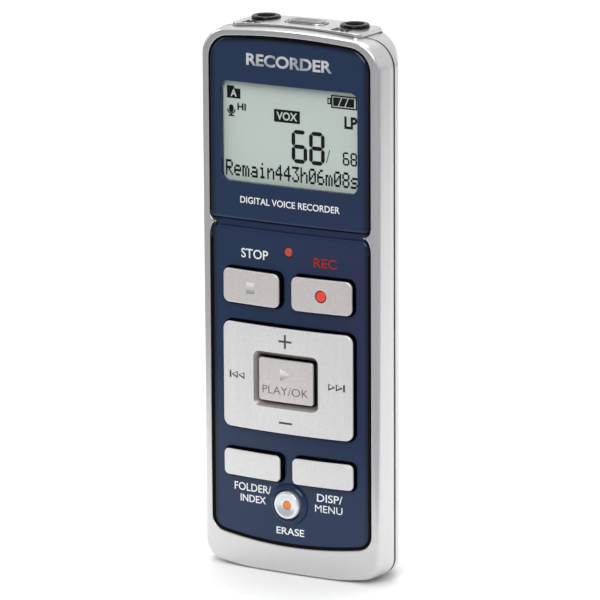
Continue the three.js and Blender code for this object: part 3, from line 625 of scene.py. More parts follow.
def skin(name, rings, caps=True):
    """A closed skin through matching rings; caps bridge the end rings from column to column."""
    count = len(rings[0])
    points = [point for one in rings for point in one]
    faces = []
    for k in range(len(rings) - 1 if caps else len(rings)):
        a = k * count
        b = (k + 1) % len(rings) * count
        faces += [(a + i, a + (i + 1) % count, b + (i + 1) % count, b + i) for i in range(count)]
    if caps:
        for start in (0, (len(rings) - 1) * count):
            faces += [(start + i, start + i + 1, start + count - 2 - i, start + count - 1 - i)
                      for i in range(count // 2 - 1)]
    return mesh_object(name, points, faces)


def rounded_front(outline, surface, wide, deep=None, steps=5):
    """Rings from a flat front out over a rounded edge, a quarter circle unless a depth is given."""
    deep = deep or wide
    rings = [place(inset(outline, wide * 1.2), surface)]
    for i in range(steps + 1):
        turn = i / steps * pi / 2
        rings.append(place(inset(outline, wide * (1 - sin(turn))), surface, deep * (1 - cos(turn))))
    return rings


def turned(name, profile, at, steps=64, closed=False):
    """A turned piece from (radius, height) pairs; at(across, other, height) puts a point in place."""
    rings = []
    for radius, height in profile:
        turns = [i / steps * 2 * pi for i in range(steps)]
        rings.append([at(radius * cos(turn), radius * sin(turn), height) for turn in turns])
    points = [point for one in rings for point in one]
    faces = []
    for k in range(len(rings) if closed else len(rings) - 1):
        a = k * steps
        b = (k + 1) % len(rings) * steps
        faces += [(a + i, a + (i + 1) % steps, b + (i + 1) % steps, b + i) for i in range(steps)]
    return mesh_object(name, points, faces)


def along_depth(x0, z0):
    return lambda across, other, height: (x0 + across, FACE_Y + height, z0 + other)


def upright(x0, depth):
    return lambda across, other, height: (x0 + across, FACE_Y + depth + other, height)


def rods(name, radius, start, end, spots, steps=64):
    """Plain round bars between two heights, one at each spot, made one piece."""
    profile = [(0, start), (radius, start), (radius, end), (0, end)]
    return joined(name, [turned("rod", profile, at, steps) for at in spots])


def block(name, low, high, radius=0.0):
    """A box between two corners in (x, depth, z), its edges rounded where a radius is given."""
    shape = bmesh.new()
    bmesh.ops.create_cube(shape, size=1)
    size = Vector(high) - Vector(low)
    middle = (Vector(high) + Vector(low)) / 2 + Vector((0, FACE_Y, 0))
    for vertex in shape.verts:
        vertex.co = Vector([(a * b + c) * MM for a, b, c in zip(vertex.co, size, middle)])
    if radius:
        bmesh.ops.bevel(shape, geom=list(shape.edges), offset=radius * MM, segments=3, profile=0.5,
                        affect="EDGES")
    mesh = bpy.data.meshes.new(name)
    shape.to_mesh(mesh)
    shape.free()
    return link(bpy.data.objects.new(name, mesh))


def prism(name, outline, surface, front, back, taper=0.0):
    """A small plate between two depths off a surface, its front drawn in by the taper."""
    count = len(outline)
    middle = Vector((sum(x for x, _ in outline), sum(z for _, z in outline))) / count
    points = []
    for depth, share in ((front, taper), (back, 0.0)):
        for x, z in outline:
            away = Vector((x, z)) - middle
            spot = middle + away * (1 - share / max(away.length, 0.001))
            points.append((spot.x, surface(spot.x) + depth, spot.y))
    faces = [tuple(range(count)), tuple(range(2 * count - 1, count - 1, -1))]
    faces += [(i, (i + 1) % count, (i + 1) % count + count, i + count) for i in range(count)]
    return mesh_object(name, points, faces)


def joined(name, parts):
    """Several meshes made one."""
    shape = bmesh.new()
    for part in parts:
        shape.from_mesh(part.data)
        bpy.data.objects.remove(part)
    mesh = bpy.data.meshes.new(name)
    shape.to_mesh(mesh)
    shape.free()
    return link(bpy.data.objects.new(name, mesh))


SCREW_SPOTS = [along_depth(x, z) for x, z in SCREWS]
JACK_SPOTS = [upright(JACK_X * side, JACK_DEPTH) for side in (-1, 1)]


# ---- Repeats ----
def node_tree(name, inputs):
    tree = bpy.data.node_groups.new(name, "GeometryNodeTree")
    tree.interface.new_socket(name="Geometry", in_out="INPUT", socket_type="NodeSocketGeometry")
    for label, kind in inputs:
        tree.interface.new_socket(name=label, in_out="INPUT", socket_type=kind)
    tree.interface.new_socket(name="Geometry", in_out="OUTPUT", socket_type="NodeSocketGeometry")
    return tree, tree.nodes.new("NodeGroupInput"), tree.nodes.new("NodeGroupOutput")


def close_tree(tree, given, result, instances):
    real = tree.nodes.new("GeometryNodeRealizeInstances")
    dress = tree.nodes.new("GeometryNodeSetMaterial")
    tree.links.new(instances, real.inputs["Geometry"])
    tree.links.new(real.outputs["Geometry"], dress.inputs["Geometry"])
    tree.links.new(given.outputs["Material"], dress.inputs["Material"])
    tree.links.new(dress.outputs["Geometry"], result.inputs["Geometry"])
    return tree


def bars_tree():
    """A bar of a given size on every point of the input mesh."""
    tree, given, result = node_tree("bars_on_points", [
        ("Size", "NodeSocketVector"), ("Material", "NodeSocketMaterial")])
    bar = tree.nodes.new("GeometryNodeMeshCube")
    copies = tree.nodes.new("GeometryNodeInstanceOnPoints")
    tree.links.new(given.outputs["Size"], bar.inputs["Size"])
    tree.links.new(given.outputs["Geometry"], copies.inputs["Points"])
    tree.links.new(bar.outputs["Mesh"], copies.inputs["Instance"])
    return close_tree(tree, given, result, copies.outputs["Instances"])


def pins_tree():
    """A round pin lying along the depth on every point of the input mesh."""
    tree, given, result = node_tree("pins_on_points", [
        ("Radius", "NodeSocketFloat"), ("Length", "NodeSocketFloat"), ("Sides", "NodeSocketInt"),
        ("Material", "NodeSocketMaterial")])
    pin = tree.nodes.new("GeometryNodeMeshCylinder")
    lie_down = tree.nodes.new("GeometryNodeTransform")
    lie_down.inputs["Rotation"].default_value = (radians(90), 0, 0)
    copies = tree.nodes.new("GeometryNodeInstanceOnPoints")
    tree.links.new(given.outputs["Radius"], pin.inputs["Radius"])
    tree.links.new(given.outputs["Length"], pin.inputs["Depth"])
    tree.links.new(given.outputs["Sides"], pin.inputs["Vertices"])
    tree.links.new(pin.outputs["Mesh"], lie_down.inputs["Geometry"])
    tree.links.new(given.outputs["Geometry"], copies.inputs["Points"])
    tree.links.new(lie_down.outputs["Geometry"], copies.inputs["Instance"])
    return close_tree(tree, given, result, copies.outputs["Instances"])


TREES = {"bars": bars_tree(), "pins": pins_tree()}


def repeated(name, tree_name, points, material, **values):
    """Runs a repeat tree over millimetre points and keeps the result as a plain mesh."""
    mesh = bpy.data.meshes.new(name)
    mesh.from_pydata([Vector(point) * MM for point in points], [], [])
    piece = link(bpy.data.objects.new(name, mesh))
    made = piece.modifiers.new("repeat", "NODES")
    made.node_group = TREES[tree_name]
    values["Material"] = FINISHES[material]
    for item in made.node_group.interface.items_tree:
        if item.in_out == "INPUT" and item.name in values:
            made[item.identifier] = values[item.name]
    return settle(piece)


def millimetres(*sizes):
    return [size * MM for size in sizes]


# ---- Outlines of the body ----
def crown(x):
    return x * x / (2 * CROWN_RADIUS)


def foot_rise(x):
    return max(abs(x) - FOOT_FLAT, 0) ** 2 / (2 * FOOT_RADIUS)


def chin_rise(x):
    return x * x / (2 * CHIN_RADIUS)


def pinch(z):
    """How far the frame points into the groove between the two face panels."""
    reach = NOTCH_UP if z > NOTCH_TIP else NOTCH_DOWN
    share = abs(z - NOTCH_TIP) / reach
    return NOTCH_DEEP * quarter(share) if share < 1 else 0.0


def sides_with_notch(cols, amount, steps=28):
    """An outline with extra points down both sides, drawn in where the groove meets the frame."""
    heights = [NOTCH_TIP + NOTCH_UP * (1 - i / steps) ** 2 for i in range(steps)]
    heights += [NOTCH_TIP - NOTCH_DOWN * (i / steps) ** 2 for i in range(steps + 1)]
    right = [(cols[-1][0] - amount * pinch(z), z) for z in heights]
    left = [(cols[0][0] + amount * pinch(z), z) for z in reversed(heights)]
    top = [(x, high) for x, high, _ in cols]
    bottom = [(x, low) for x, _, low in reversed(cols)]
    return top + right + bottom + left


def blended(sections, depth):
    """A smooth section between the rows of a table."""
    index = next((k for k in range(len(sections) - 2) if depth <= sections[k + 1][0]), len(sections) - 2)
    here, there = sections[index], sections[index + 1]
    before = sections[max(index - 1, 0)]
    after = sections[min(index + 2, len(sections) - 1)]
    length = there[0] - here[0]
    t = (depth - here[0]) / length
    values = []
    for a, b, c, d in zip(before[1:], here[1:], there[1:], after[1:]):
        leave = (c - a) / (there[0] - before[0]) * length
        arrive = (d - b) / (after[0] - here[0]) * length
        values.append(b * (2 * t ** 3 - 3 * t ** 2 + 1) + leave * (t ** 3 - 2 * t ** 2 + t)
                      + c * (3 * t ** 2 - 2 * t ** 3) + arrive * (t ** 3 - t ** 2))
    return values


# ---- Casings ----
def front_frame():
    """The silver front casing: rim and chin, rolled edge, drafted side and the ledge behind the face."""
    opening = columns(PANEL_HALF + PANEL_GAP, PANEL_TOP + PANEL_GAP, PANEL_LOW.z - PANEL_GAP_LOW,
                      PANEL_CORNER + 0.1, crown, chin_rise, low_share=LOW_CORNER_SHARE)
    hole = sides_with_notch(opening, 1.0)
    front = bowed(FRAME_FRONT, FACE_RADIUS)

    def outer(turn):
        half = FRAME_FLAT_HALF + FRAME_ROUND * sin(turn) + FRAME_DRAFT * FRAME_ROUND_DEEP * (1 - cos(turn))
        cols = columns(half, 100.72 + 0.48 * sin(turn), 0.5 - 0.5 * sin(turn), 4.0 + 0.4 * sin(turn),
                       crown, foot_rise, low_share=LOW_CORNER_SHARE)
        return sides_with_notch(cols, 0.0)

    def mixed(first, second, share):
        return [(a + (c - a) * share, b + (d - b) * share) for (a, b), (c, d) in zip(first, second)]

    edge = 0.14
    rings = [place(hole, level(2.35)), place(hole, front, edge)]
    rings += [place(inset(hole, -edge * (1 - cos(turn))), front, edge * (1 - sin(turn)))
              for turn in (pi / 6, pi / 3, pi / 2)]
    crest = inset(hole, -edge)
    rings += [place(mixed(crest, outer(0.0), share), front) for share in (0.08, 0.25, 0.5, 0.75, 0.92)]
    steps = 10
    for i in range(steps + 1):
        turn = i / steps * pi / 2
        drop = FRAME_ROUND_DEEP * (1 - cos(turn))
        flatten = cos(turn) ** 2
        rings.append([(x, FACE_Y + FRAME_FRONT + drop + flatten * x * x / (2 * FACE_RADIUS), z)
                      for x, z in outer(turn)])
    side = sides_with_notch(columns(19.3, CROWN_TOP, 0.0, 4.4, crown, foot_rise,
                                    low_share=LOW_CORNER_SHARE), 0.0)
    start = rings[-1]
    for share in (0.33, 0.67, 0.97):
        rings.append([(a[0] + (b[0] - a[0]) * share, a[1] + (FACE_Y + SEAM_FRONT - a[1]) * share,
                       a[2] + (b[1] - a[2]) * share) for a, b in zip(start, side)])
    rings.append(place(inset(side, 0.06), level(SEAM_FRONT)))
    rings.append(place(inset(side, WALL), level(SEAM_FRONT)))
    rings.append(place(inset(side, WALL + 0.3), level(2.9)))
    rings.append(place(inset(hole, 1.4), level(2.9)))
    rings.append(place(inset(hole, 1.4), level(2.35)))
    return skin("front_frame", rings, caps=False)


def rear_ring(depth, wall=0.0):
    half, top, low, corner = blended(REAR_SECTIONS, depth)
    outline = ring(columns(half, top, low, corner, crown, foot_rise, low_share=LOW_CORNER_SHARE))
    return inset(outline, wall) if wall else outline


def rear_skin(name, start):
    """The hollow rear shell from a starting depth to the flat of the back."""
    inner = [16.8 - (16.8 - start) * (i / 12) for i in range(13)]
    outer = [start + (BACK - start) * (i / 36) for i in range(37)]
    rings = [place(rear_ring(depth + 0.9, SHELL_WALL), level(depth)) for depth in inner]
    rings += [place(rear_ring(depth), level(depth)) for depth in outer]
    return skin(name, rings)


def rear_case():
    shell = rear_skin("rear_case", SEAM_BACK)
    depths = [SEAM_BACK + 13.2 * i / 24 for i in range(25)]
    solid = skin("solid", [place(rear_ring(depth), level(depth)) for depth in depths])
    bosses = rods("bosses", BOSS_RADIUS, 5.3, 15.0, SCREW_SPOTS)
    boolean(shell, boolean(bosses, solid, "INTERSECT"), "UNION")
    bay_low, bay_high = span("battery_cover")[0].z + 3.6, 61.0
    boolean(shell, block("bay", (-12.3, 5.35, bay_low - 1), (12.3, 15.2, bay_high + 1)), "UNION")
    wells = rods("wells", SCREW_WELL, 8.0, BEHIND_ALL, SCREW_SPOTS, 32)
    bores = rods("bores", SCREW_BORE, 4.0, 8.5, SCREW_SPOTS, 32)
    usb_low, usb_high = span("usb_socket")
    hold_low, hold_high = span("hold_knob")
    jacks = rods("jacks", JACK_HOLE, 95, ABOVE_ALL, JACK_SPOTS)
    return cut_all(
        shell,
        block("bay_room", (-11.3, 5.8, bay_low), (11.3, BEHIND_ALL, bay_high)),
        block("cover_room", (-20, COVER_FRONT - 0.2, -1), (20, BEHIND_ALL, COVER_TOP + 0.2)),
        rods("speaker_room", 7.7, 16, BEHIND_ALL, [along_depth(0, SPEAKER_Z)]),
        wells, bores, jacks, mic_pill("mic_room", 4.35, 2.15, [(0, 90), (0, ABOVE_ALL)]),
        block("usb_room", (-25, 5.3, usb_low.z - 0.25), (-15, 9.4, usb_high.z + 0.25), 0.4),
        block("hold_room", (-25, 5.5, hold_low.z - 3.3), (-18.7, 7.7, hold_high.z + 0.3), 0.3),
        block("hold_slot", (-19, 6.0, hold_low.z - 1.8), (-15, 7.2, hold_high.z - 1.2), 0.2),
    )


def battery_cover():
    cover = rear_skin("battery_cover", COVER_FRONT)
    boolean(cover, block("region", (-20, 12, -5), (20, 25, COVER_TOP)), "INTERSECT")
    ribs = [(0, FACE_Y + BACK, 55.2 + 0.9 * i) for i in range(6)]
    return boolean(cover, repeated("rib_grooves", "bars", ribs, "silver_body",
                                   Size=millimetres(8.5, 0.5, 0.4)))


def top_plate():
    """The jack plate: bowed along the crown, with cut corners and a fine rounded edge."""
    half, front, back, chamfer, steps = 13.4, 2.8, 11.8, 0.92, 48
    offsets = [half * (2 * i / steps - 1) for i in range(steps + 1)]
    cols = []
    for x in offsets:
        cut = max(abs(x) - (half - chamfer), 0)
        cols.append((x, back - cut, front + cut))
    outline = ring(cols)

    def high(x, sink):
        return PLATE_TOP - x * x / (2 * FACE_RADIUS) - sink

    rings = [[(x, FACE_Y + d, CROWN_TOP - 0.1 - crown(x)) for x, d in outline]]
    edge = 0.13
    for i in range(4):
        turn = i / 3 * pi / 2
        shrunk = inset(outline, edge * (1 - cos(turn)))
        rings.append([(x, FACE_Y + d, high(x, edge * (1 - sin(turn)))) for x, d in shrunk])
    plate = skin("top_plate", rings)
    holes = rods("holes", JACK_HOLE, 98, ABOVE_ALL, JACK_SPOTS)
    return cut_all(plate, holes, mic_pill("mic_hole", 4.35, 2.15, [(0, 98), (0, ABOVE_ALL)]))


def plate_gap_shadow():
    """A black strip where the jack plate sits in the crown, standing for the shade in the gap: a painted
    shadow.
    """
    half, front, back, steps = 13.52, 2.68, 11.92, 48
    offsets = [half * (2 * i / steps - 1) for i in range(steps + 1)]
    cols = [(x, back - max(abs(x) - half + 1, 0), front + max(abs(x) - half + 1, 0)) for x in offsets]
    rings = [[(x, FACE_Y + d, CROWN_TOP + lift - crown(x)) for x, d in ring(cols)]
             for lift in (-0.2, 0.07)]
    finish(skin("plate_gap_shadow", rings), "black_plastic", "root", "black_plastic")


def mic_pill(name, half, wide, stations):
    """A pill lying across the top, through (inset, height) stations."""
    steps = 16
    rings = []
    for shrink, height in stations:
        radius = wide - shrink
        arcs = [(side * (half - wide), side, i) for side in (1, -1) for i in range(steps + 1)]
        turns = [(centre, (i / steps - 0.5) * pi + (0 if side > 0 else pi)) for centre, side, i in arcs]
        rings.append([(centre + radius * cos(turn), FACE_Y + MIC_DEPTH + radius * sin(turn), height)
                      for centre, turn in turns])
    count = len(rings[0])
    points = [point for one in rings for point in one]
    faces = [tuple(range(count)), tuple(range(len(points) - count, len(points)))]
    for k in range(len(rings) - 1):
        a, b = k * count, (k + 1) * count
        faces += [(a + i, a + (i + 1) % count, b + (i + 1) % count, b + i) for i in range(count)]
    return mesh_object(name, points, faces)


def casings():
    finish(front_frame(), "silver_body", "root", "silver_body", "front_frame", angle=40)
    finish(rear_case(), "silver_body", "root", "silver_body", "rear_case", weighted=True)
    finish(battery_cover(), "silver_body", "cover", "silver_body", "battery_cover", weighted=True)
    finish(top_plate(), "silver_body", "root", "silver_body", "top_plate", weighted=True)
    plate_gap_shadow()


# ---- Face ----
def lens_outline():
    corner, edge = 0.9, PANEL_HALF

    def low_corner(x):
        past = abs(x) - (edge - corner)
        return corner * quarter(1 - past / corner) if past > 0 else 0.0
    cols = columns(edge, PANEL_TOP, GROOVE_HIGH, PANEL_CORNER, crown, steps=(12, 60))
    return ring([(x, high, GROOVE_HIGH + low_corner(x)) for x, high, _ in cols])


def window(name, grow, surface, front, back):
    outline = inset(ring(columns(14.18, 90.95, 72.5, 1.45, centre=0.08, steps=(8, 40))), -grow)
    return skin(name, [place(outline, surface, front), place(outline, surface, back)])


def display_lens():
    surface = bowed(0.0, LENS_RADIUS)
    outline = lens_outline()
    rings = rounded_front(outline, surface, PANEL_EDGE, PANEL_EDGE_DEEP)
    rings.append(place(outline, surface, LENS_BACK))
    lens = boolean(skin("display_lens", rings), window("window_hole", 0.0, surface, -0.5, 1.5))
    finish(lens, "navy_face", "root", "navy_face", "display_lens", weighted=True)
    pane = window("window_pane", -0.01, surface, 0.0, LENS_BACK - 0.1)
    finish(pane, "clear_pane", "root", "navy_face", "display_lens")


def panel_outline():
    def shoulder(x):
        past = abs(x) - (PANEL_HALF - SHOULDER_WIDE)
        return SHOULDER_TALL * quarter(1 - past / SHOULDER_WIDE) if past > 0 else 0.0
    cols = columns(PANEL_HALF, GROOVE_LOW, PANEL_LOW.z, PANEL_CORNER, foot=chin_rise, steps=(12, 64),
                   low_share=LOW_CORNER_SHARE)
    return ring([(x, GROOVE_LOW - shoulder(x), low) for x, _, low in cols])


def key_outline(x, z, half, tall, corner, steps=(6, 16)):
    return ring(columns(half, z + tall, z - tall, corner, centre=x, steps=steps))


def hole_cutter(name, outline, surface):
    """A straight hole that flares into a small round at the surface."""
    rings = [place(inset(outline, -HOLE_CHAMFER), surface, -3)]
    rings.append(place(inset(outline, -HOLE_CHAMFER), surface, 0))
    for turn in (pi / 6, pi / 3, pi / 2):
        flare = inset(outline, -HOLE_CHAMFER * (1 - sin(turn)))
        rings.append(place(flare, surface, HOLE_CHAMFER * (1 - cos(turn))))
    rings.append(place(outline, surface, 4))
    return skin(name, rings)


def key_box(node, lip=KEY_LIP):
    """Centre and half sizes of a key's cap, from its CAD node and its hidden flange."""
    low, high = span(node)
    middle = (low + high) / 2
    return middle.x, middle.z, (high.x - low.x) / 2 - lip, (high.z - low.z) / 2 - lip


KEY_CORNERS = {"stop_key": 1.2, "rec_key": 1.2, "folder_key": 0.95, "disp_key": 0.95}
PAD = key_box("nav_pad", PAD_LIP)
PLAY = key_box("play_key", 0.0)
ERASE_Z = (span("erase_key")[0].z + span("erase_key")[1].z) / 2
LED_Z = (span("led_lens")[0].z + span("led_lens")[1].z) / 2


def key_panel():
    surface = bowed(0.0, FACE_RADIUS)
    outline = panel_outline()
    rings = rounded_front(outline, surface, PANEL_EDGE, PANEL_EDGE_DEEP)
    rings.append(place(outline, surface, PANEL_BACK))
    panel = skin("key_panel", rings)
    for node, corner in KEY_CORNERS.items():
        x, z, half, tall = key_box(node)
        hole = key_outline(x, z, half + KEY_GAP, tall + KEY_GAP, corner + 0.15)
        boolean(panel, hole_cutter("key_hole", hole, surface))
    x, z, half, tall = PAD
    hole = key_outline(x, z, half + KEY_GAP, tall + KEY_GAP, PAD_CORNER + 0.15, (8, 40))
    boolean(panel, hole_cutter("pad_hole", hole, surface))
    for z, radius in ((ERASE_Z, ERASE_HOLE), (LED_Z, LED_HOLE)):
        boolean(panel, rods("round_hole", radius, -3, 6, [along_depth(0, z)]))
    finish(panel, "navy_face", "root", "navy_face", "key_panel", weighted=True)
    lip = ring(columns(16.2, GROOVE_HIGH - 0.15, GROOVE_LOW - 0.7, 0.3, steps=(3, 40)))
    floor = skin("groove_floor", [place(inset(lip, 0.2), surface, GROOVE_DEEP),
                                  place(lip, surface, GROOVE_DEEP + 0.2),
                                  place(lip, surface, PANEL_BACK)])
    finish(floor, "navy_face", "root", "navy_face", "key_panel")


def gap_shadow_strip():
    """A matt black strip in the gap between the face panels and the rim, standing for the shade deep in the
    gap: a painted shadow.
    """
    outer = ring(columns(PANEL_HALF + PANEL_GAP + 0.06, PANEL_TOP + PANEL_GAP + 0.06,
                         PANEL_LOW.z - PANEL_GAP_LOW - 0.06, PANEL_CORNER + 0.1,
                         crown, chin_rise, low_share=LOW_CORNER_SHARE))
    inner = inset(outer, 0.7)
    front = bowed(GAP_SHADOW_FRONT, FACE_RADIUS)
    strip = skin("gap_shadow_strip", [place(outer, front), place(outer, front, 0.6),
                            place(inner, front, 0.6), place(inner, front)], caps=False)
    for side in (-1, 1):
        tip = side * (PANEL_HALF - NOTCH_DEEP)
        near, far = sorted((tip, tip * 1.3))
        boolean(strip, block("notch_room", (near, -3, NOTCH_TIP - 3.2), (far, 3, NOTCH_TIP + 2)))
    finish(strip, "gap_shadow_black", "root", "black_plastic")


def erase_collar():
    """The raised navy ring around the erase key, with a soft foot."""
    profile = [(ERASE_HOLE, 1.4), (ERASE_HOLE, -0.55), (2.88, -0.72), (3.0, -0.8)]
    bends = 8
    for i in range(1, bends + 1):
        turn = i / bends * pi / 2
        profile.append((3.0 + 0.85 * sin(turn), -0.8 + 0.75 * (1 - cos(turn))))
    profile += [(3.9, 0.02), (4.05, 0.12), (4.25, 0.14), (4.25, 1.4)]
    piece = turned("erase_collar", profile, along_depth(0, ERASE_Z), 96, closed=True)
    finish(piece, "navy_face", "root", "navy_face", "key_panel", angle=50)


def face():
    display_lens()
    key_panel()
    gap_shadow_strip()
    erase_collar()


# ---- Keys ----
def cap_and_skirt(name, outline, lip, flange):
    """A painted cap on a darker moulded key, whose side shows as black."""
    surface = bowed(-KEY_PROUD, KEY_RADIUS)
    rings = rounded_front(outline, surface, KEY_ROUND)
    rings.append(place(outline, surface, KEY_ROUND + 0.12))
    cap = skin(name + "_cap", rings)
    under = inset(outline, 0.03)
    wide = inset(outline, -lip)
    skirt = skin(name + "_skirt", [place(under, surface, KEY_ROUND + 0.05), place(under, level(flange[0])),
                                   place(wide, level(flange[0])), place(wide, level(flange[1]))])
    return cap, skirt


def small_keys():
    for node, corner in KEY_CORNERS.items():
        x, z, half, tall = key_box(node)
        body = node.split("_")[0]
        slot = "warm_key" if body in ("stop", "rec") else "silver_key"
        outline = key_outline(x, z, half, tall, corner)
        cap, skirt = cap_and_skirt(body, outline, KEY_LIP, (FLANGE_FRONT, FLANGE_BACK))
        if body == "rec":
            boolean(cap, turned("dot_room", [(0, -3), (1.17, -3), (1.17, 1), (0, 1)], along_depth(x, z)))
        finish(cap, slot, body, slot, node, weighted=True)
        finish(skirt, "black_gloss", body, "black_plastic", node)


def pad_cap():
    """The direction pad with its window cut out and the marks sunk into it."""
    x, z, half, tall = PAD
    outline = key_outline(x, z, half, tall, PAD_CORNER, (8, 54))
    cap, skirt = cap_and_skirt("nav_pad", outline, PAD_LIP, (PAD_FLANGE_FRONT, PAD_FLANGE_BACK))
    surface = bowed(-KEY_PROUD, KEY_RADIUS)
    opening = key_outline(0, z, WINDOW_HALF, WINDOW_TALL, 1.3, (6, 24))
    boolean(cap, skin("cap_window", [place(opening, surface, -1), place(opening, surface, 2)]))
    inner = inset(opening, WINDOW_SLOPE)
    through = inset(opening, 0.2)
    boolean(skirt, skin("skirt_window", [place(through, surface, -1), place(through, surface, 6)]))
    slope = skin("nav_pad_slope", [
        place(opening, surface), place(inset(opening, 0.06), surface, 0.05),
        place(inner, surface, 0.85), place(inset(inner, 0.08), surface, 1.0),
        place(inset(inner, 0.08), level(2.6)), place(opening, level(2.6))], caps=False)
    for mark in pad_marks(surface):
        boolean(cap, mark)
    finish(cap, "silver_key", "pad", "silver_key", "nav_pad", weighted=True)
    finish(skirt, "black_gloss", "pad", "black_plastic", "nav_pad")
    finish(slope, "warm_slope", "pad", "warm_key", "nav_pad")


def bar_outline(x, z, half, tall):
    return [(x - half, z + tall), (x + half, z + tall), (x + half, z - tall), (x - half, z - tall)]


def arrow(x, z, side, long, tall):
    """A triangle that starts at x and points to the side."""
    return [(x, z + tall), (x + side * long, z), (x, z - tall)]


def mark_outlines():
    """Plus, minus and the two skip signs around the pad."""
    z = PAD[1]
    up, down, across = z + 7.45, z - 7.8, 10.55
    outlines = [bar_outline(0, up, 1.38, 0.2), bar_outline(0, up + 0.76, 0.22, 0.56),
                bar_outline(0, up - 0.76, 0.22, 0.56), bar_outline(0, down, 1.38, 0.2)]
    for side in (-1, 1):
        tip = side * (across + 1.35)
        outlines.append(bar_outline(tip, z, 0.2, 0.68))
        outlines.append(arrow(tip - side * 1.64, z, side, 1.46, 0.68))
        outlines.append(arrow(tip - side * 3.14, z, side, 1.46, 0.68))
    return outlines


def pad_marks(surface):
    return [prism("mark", outline, surface, -0.5, 0.1) for outline in mark_outlines()]


def pad_mark_fill():
    """Dark floors of the sunk marks, partly their own dark fill and partly painted shade, with the
    arrowheads' lighter raised centres.
    """
    surface = bowed(-KEY_PROUD, KEY_RADIUS)
    floors = [prism("mark", outline, surface, 0.06, 0.12) for outline in mark_outlines()]
    finish(joined("pad_marks", floors), "engraved", "pad", "silver_key", "nav_pad")
    centres = []
    for outline in mark_outlines():
        if len(outline) == 3:
            (a, top), (b, z), (_, low) = outline
            # The centres sit 0.09 mm high in their triangles, so a wider dark edge shows below them: painted
            # shadow.
            middle = a + (b - a) * 0.36
            centres.append([(middle + (x - middle) * 0.5, z + 0.09 + (y - z) * 0.5)
                            for x, y in ((a, top), (b, z), (a, low))])
    plates = [prism("centre", outline, surface, 0.0, 0.1) for outline in centres]
    finish(joined("pad_mark_centres", plates), "silver_key", "pad", "silver_key", "nav_pad")


def play_key():
    x, z, half, tall = PLAY
    outline = key_outline(x, z, half, tall, 0.5, (4, 20))
    surface = bowed(-KEY_PROUD + PLAY_LIFT, KEY_RADIUS)
    rings = rounded_front(outline, surface, 0.2)
    rings.append(place(outline, surface, 0.5))
    cap = skin("play_cap", rings)
    under = inset(outline, 0.03)
    skirt = skin("play_skirt", [place(under, surface, 0.45), place(under, level(3.1))])
    finish(cap, "warm_key", "play", "warm_key", "play_key")
    finish(skirt, "black_gloss", "play", "black_plastic", "play_key")
    # The play sign's colour carries painted shade: dark grey below a set height, light above it.
    sign = prism("play_sign", arrow(-1.1, z + 1.2, 1, 2.2, 1.15), surface, -0.1, 0.05, 0.1)
    finish(sign, "play_sign_painted_shade", "play", "warm_key", "play_key")


def raised_marks():
    surface = bowed(-KEY_PROUD, KEY_RADIUS)
    x, z, _, _ = key_box("stop_key")
    # The stop sign's colour carries painted shade: dark grey towards its bottom, light above.
    sign = prism("stop_sign", bar_outline(x, z, 0.92, 1.06), surface, -0.1, 0.05, 0.1)
    finish(sign, "stop_sign_painted_shade", "stop", "warm_key", "stop_key")
    x, z, _, _ = key_box("rec_key")
    top = surface(x) - FACE_Y
    dome = [(0, top - 0.06), (0.5, top - 0.05), (0.8, top), (0.97, top + 0.1), (1.0, top + 0.6),
            (0, top + 0.6)]
    dot = turned("rec_dot", dome, along_depth(x, z))
    finish(dot, "red_mark", "rec", "red_mark", "rec_dot", angle=50)


def erase_key():
    disc = [(0.82, -0.4), (0.82, -0.98), (0.95, -1.02), (1.25, -1.06), (1.6, -1.16), (1.9, -1.3),
            (2.05, -1.35), (2.3, -1.35), (2.46, -1.3), (2.56, -1.18), (2.6, -1.0), (2.6, FLANGE_FRONT),
            (3.25, FLANGE_FRONT), (3.25, FLANGE_BACK), (0, FLANGE_BACK), (0, -0.4)]
    key = turned("erase_key", disc, along_depth(0, ERASE_Z), 96)
    finish(key, "pearl_key", "erase", "silver_key", "erase_key", angle=50)
    dot = [(0, -1.02), (0.5, -1.0), (0.72, -0.92), (0.78, -0.6), (0, -0.6)]
    mark = turned("erase_dot", dot, along_depth(0, ERASE_Z))
    finish(mark, "orange_mark", "erase", "orange_mark", "erase_dot", angle=50)


def record_light():
    dome = [(0, -0.12), (0.4, -0.1), (0.7, -0.02), (0.84, 0.12), (0.84, 2.2), (0, 2.2)]
    lens = turned("led_lens", dome, along_depth(0, LED_Z))
    finish(lens, "led_red", "root", "red_mark", "led_lens", angle=50)


def keys():
    small_keys()
    pad_cap()
    pad_mark_fill()
    play_key()
    raised_marks()
    erase_key()
    record_light()


# ---- Lettering ----
def lettering(name, text, centre, width, height, at, bold=0.0):
    """Plain words as a thin mesh, fitted to a width and height; at(x, z, lift) lays each point down."""
    data = bpy.data.curves.new(name, "FONT")
    data.body = text
    data.extrude = 0.5
    data.offset = bold
    data.resolution_u = 4
    piece = settle(link(bpy.data.objects.new(name, data)))
    spots = [vertex.co.copy() for vertex in piece.data.vertices]
    low = [min(spot[i] for spot in spots) for i in range(2)]
    high = [max(spot[i] for spot in spots) for i in range(2)]
    for vertex, spot in zip(piece.data.vertices, spots):
        x = centre[0] + ((spot.x - low[0]) / (high[0] - low[0]) - 0.5) * width
        z = centre[1] + ((spot.y - low[1]) / (high[1] - low[1]) - 0.5) * height
        vertex.co = Vector(at(x, z, spot.z + 0.5)) * MM
    piece.name = name
    shape = bmesh.new()
    shape.from_mesh(piece.data)
    bmesh.ops.remove_doubles(shape, verts=shape.verts, dist=0.00001 * MM)
    bmesh.ops.recalc_face_normals(shape, faces=shape.faces)
    shape.to_mesh(piece.data)
    shape.free()
    return piece


def on_surface(surface, thick=0.02):
    return lambda x, z, lift: (x, surface(x) + 0.01 - thick * (1 + lift) / 1.5, z)


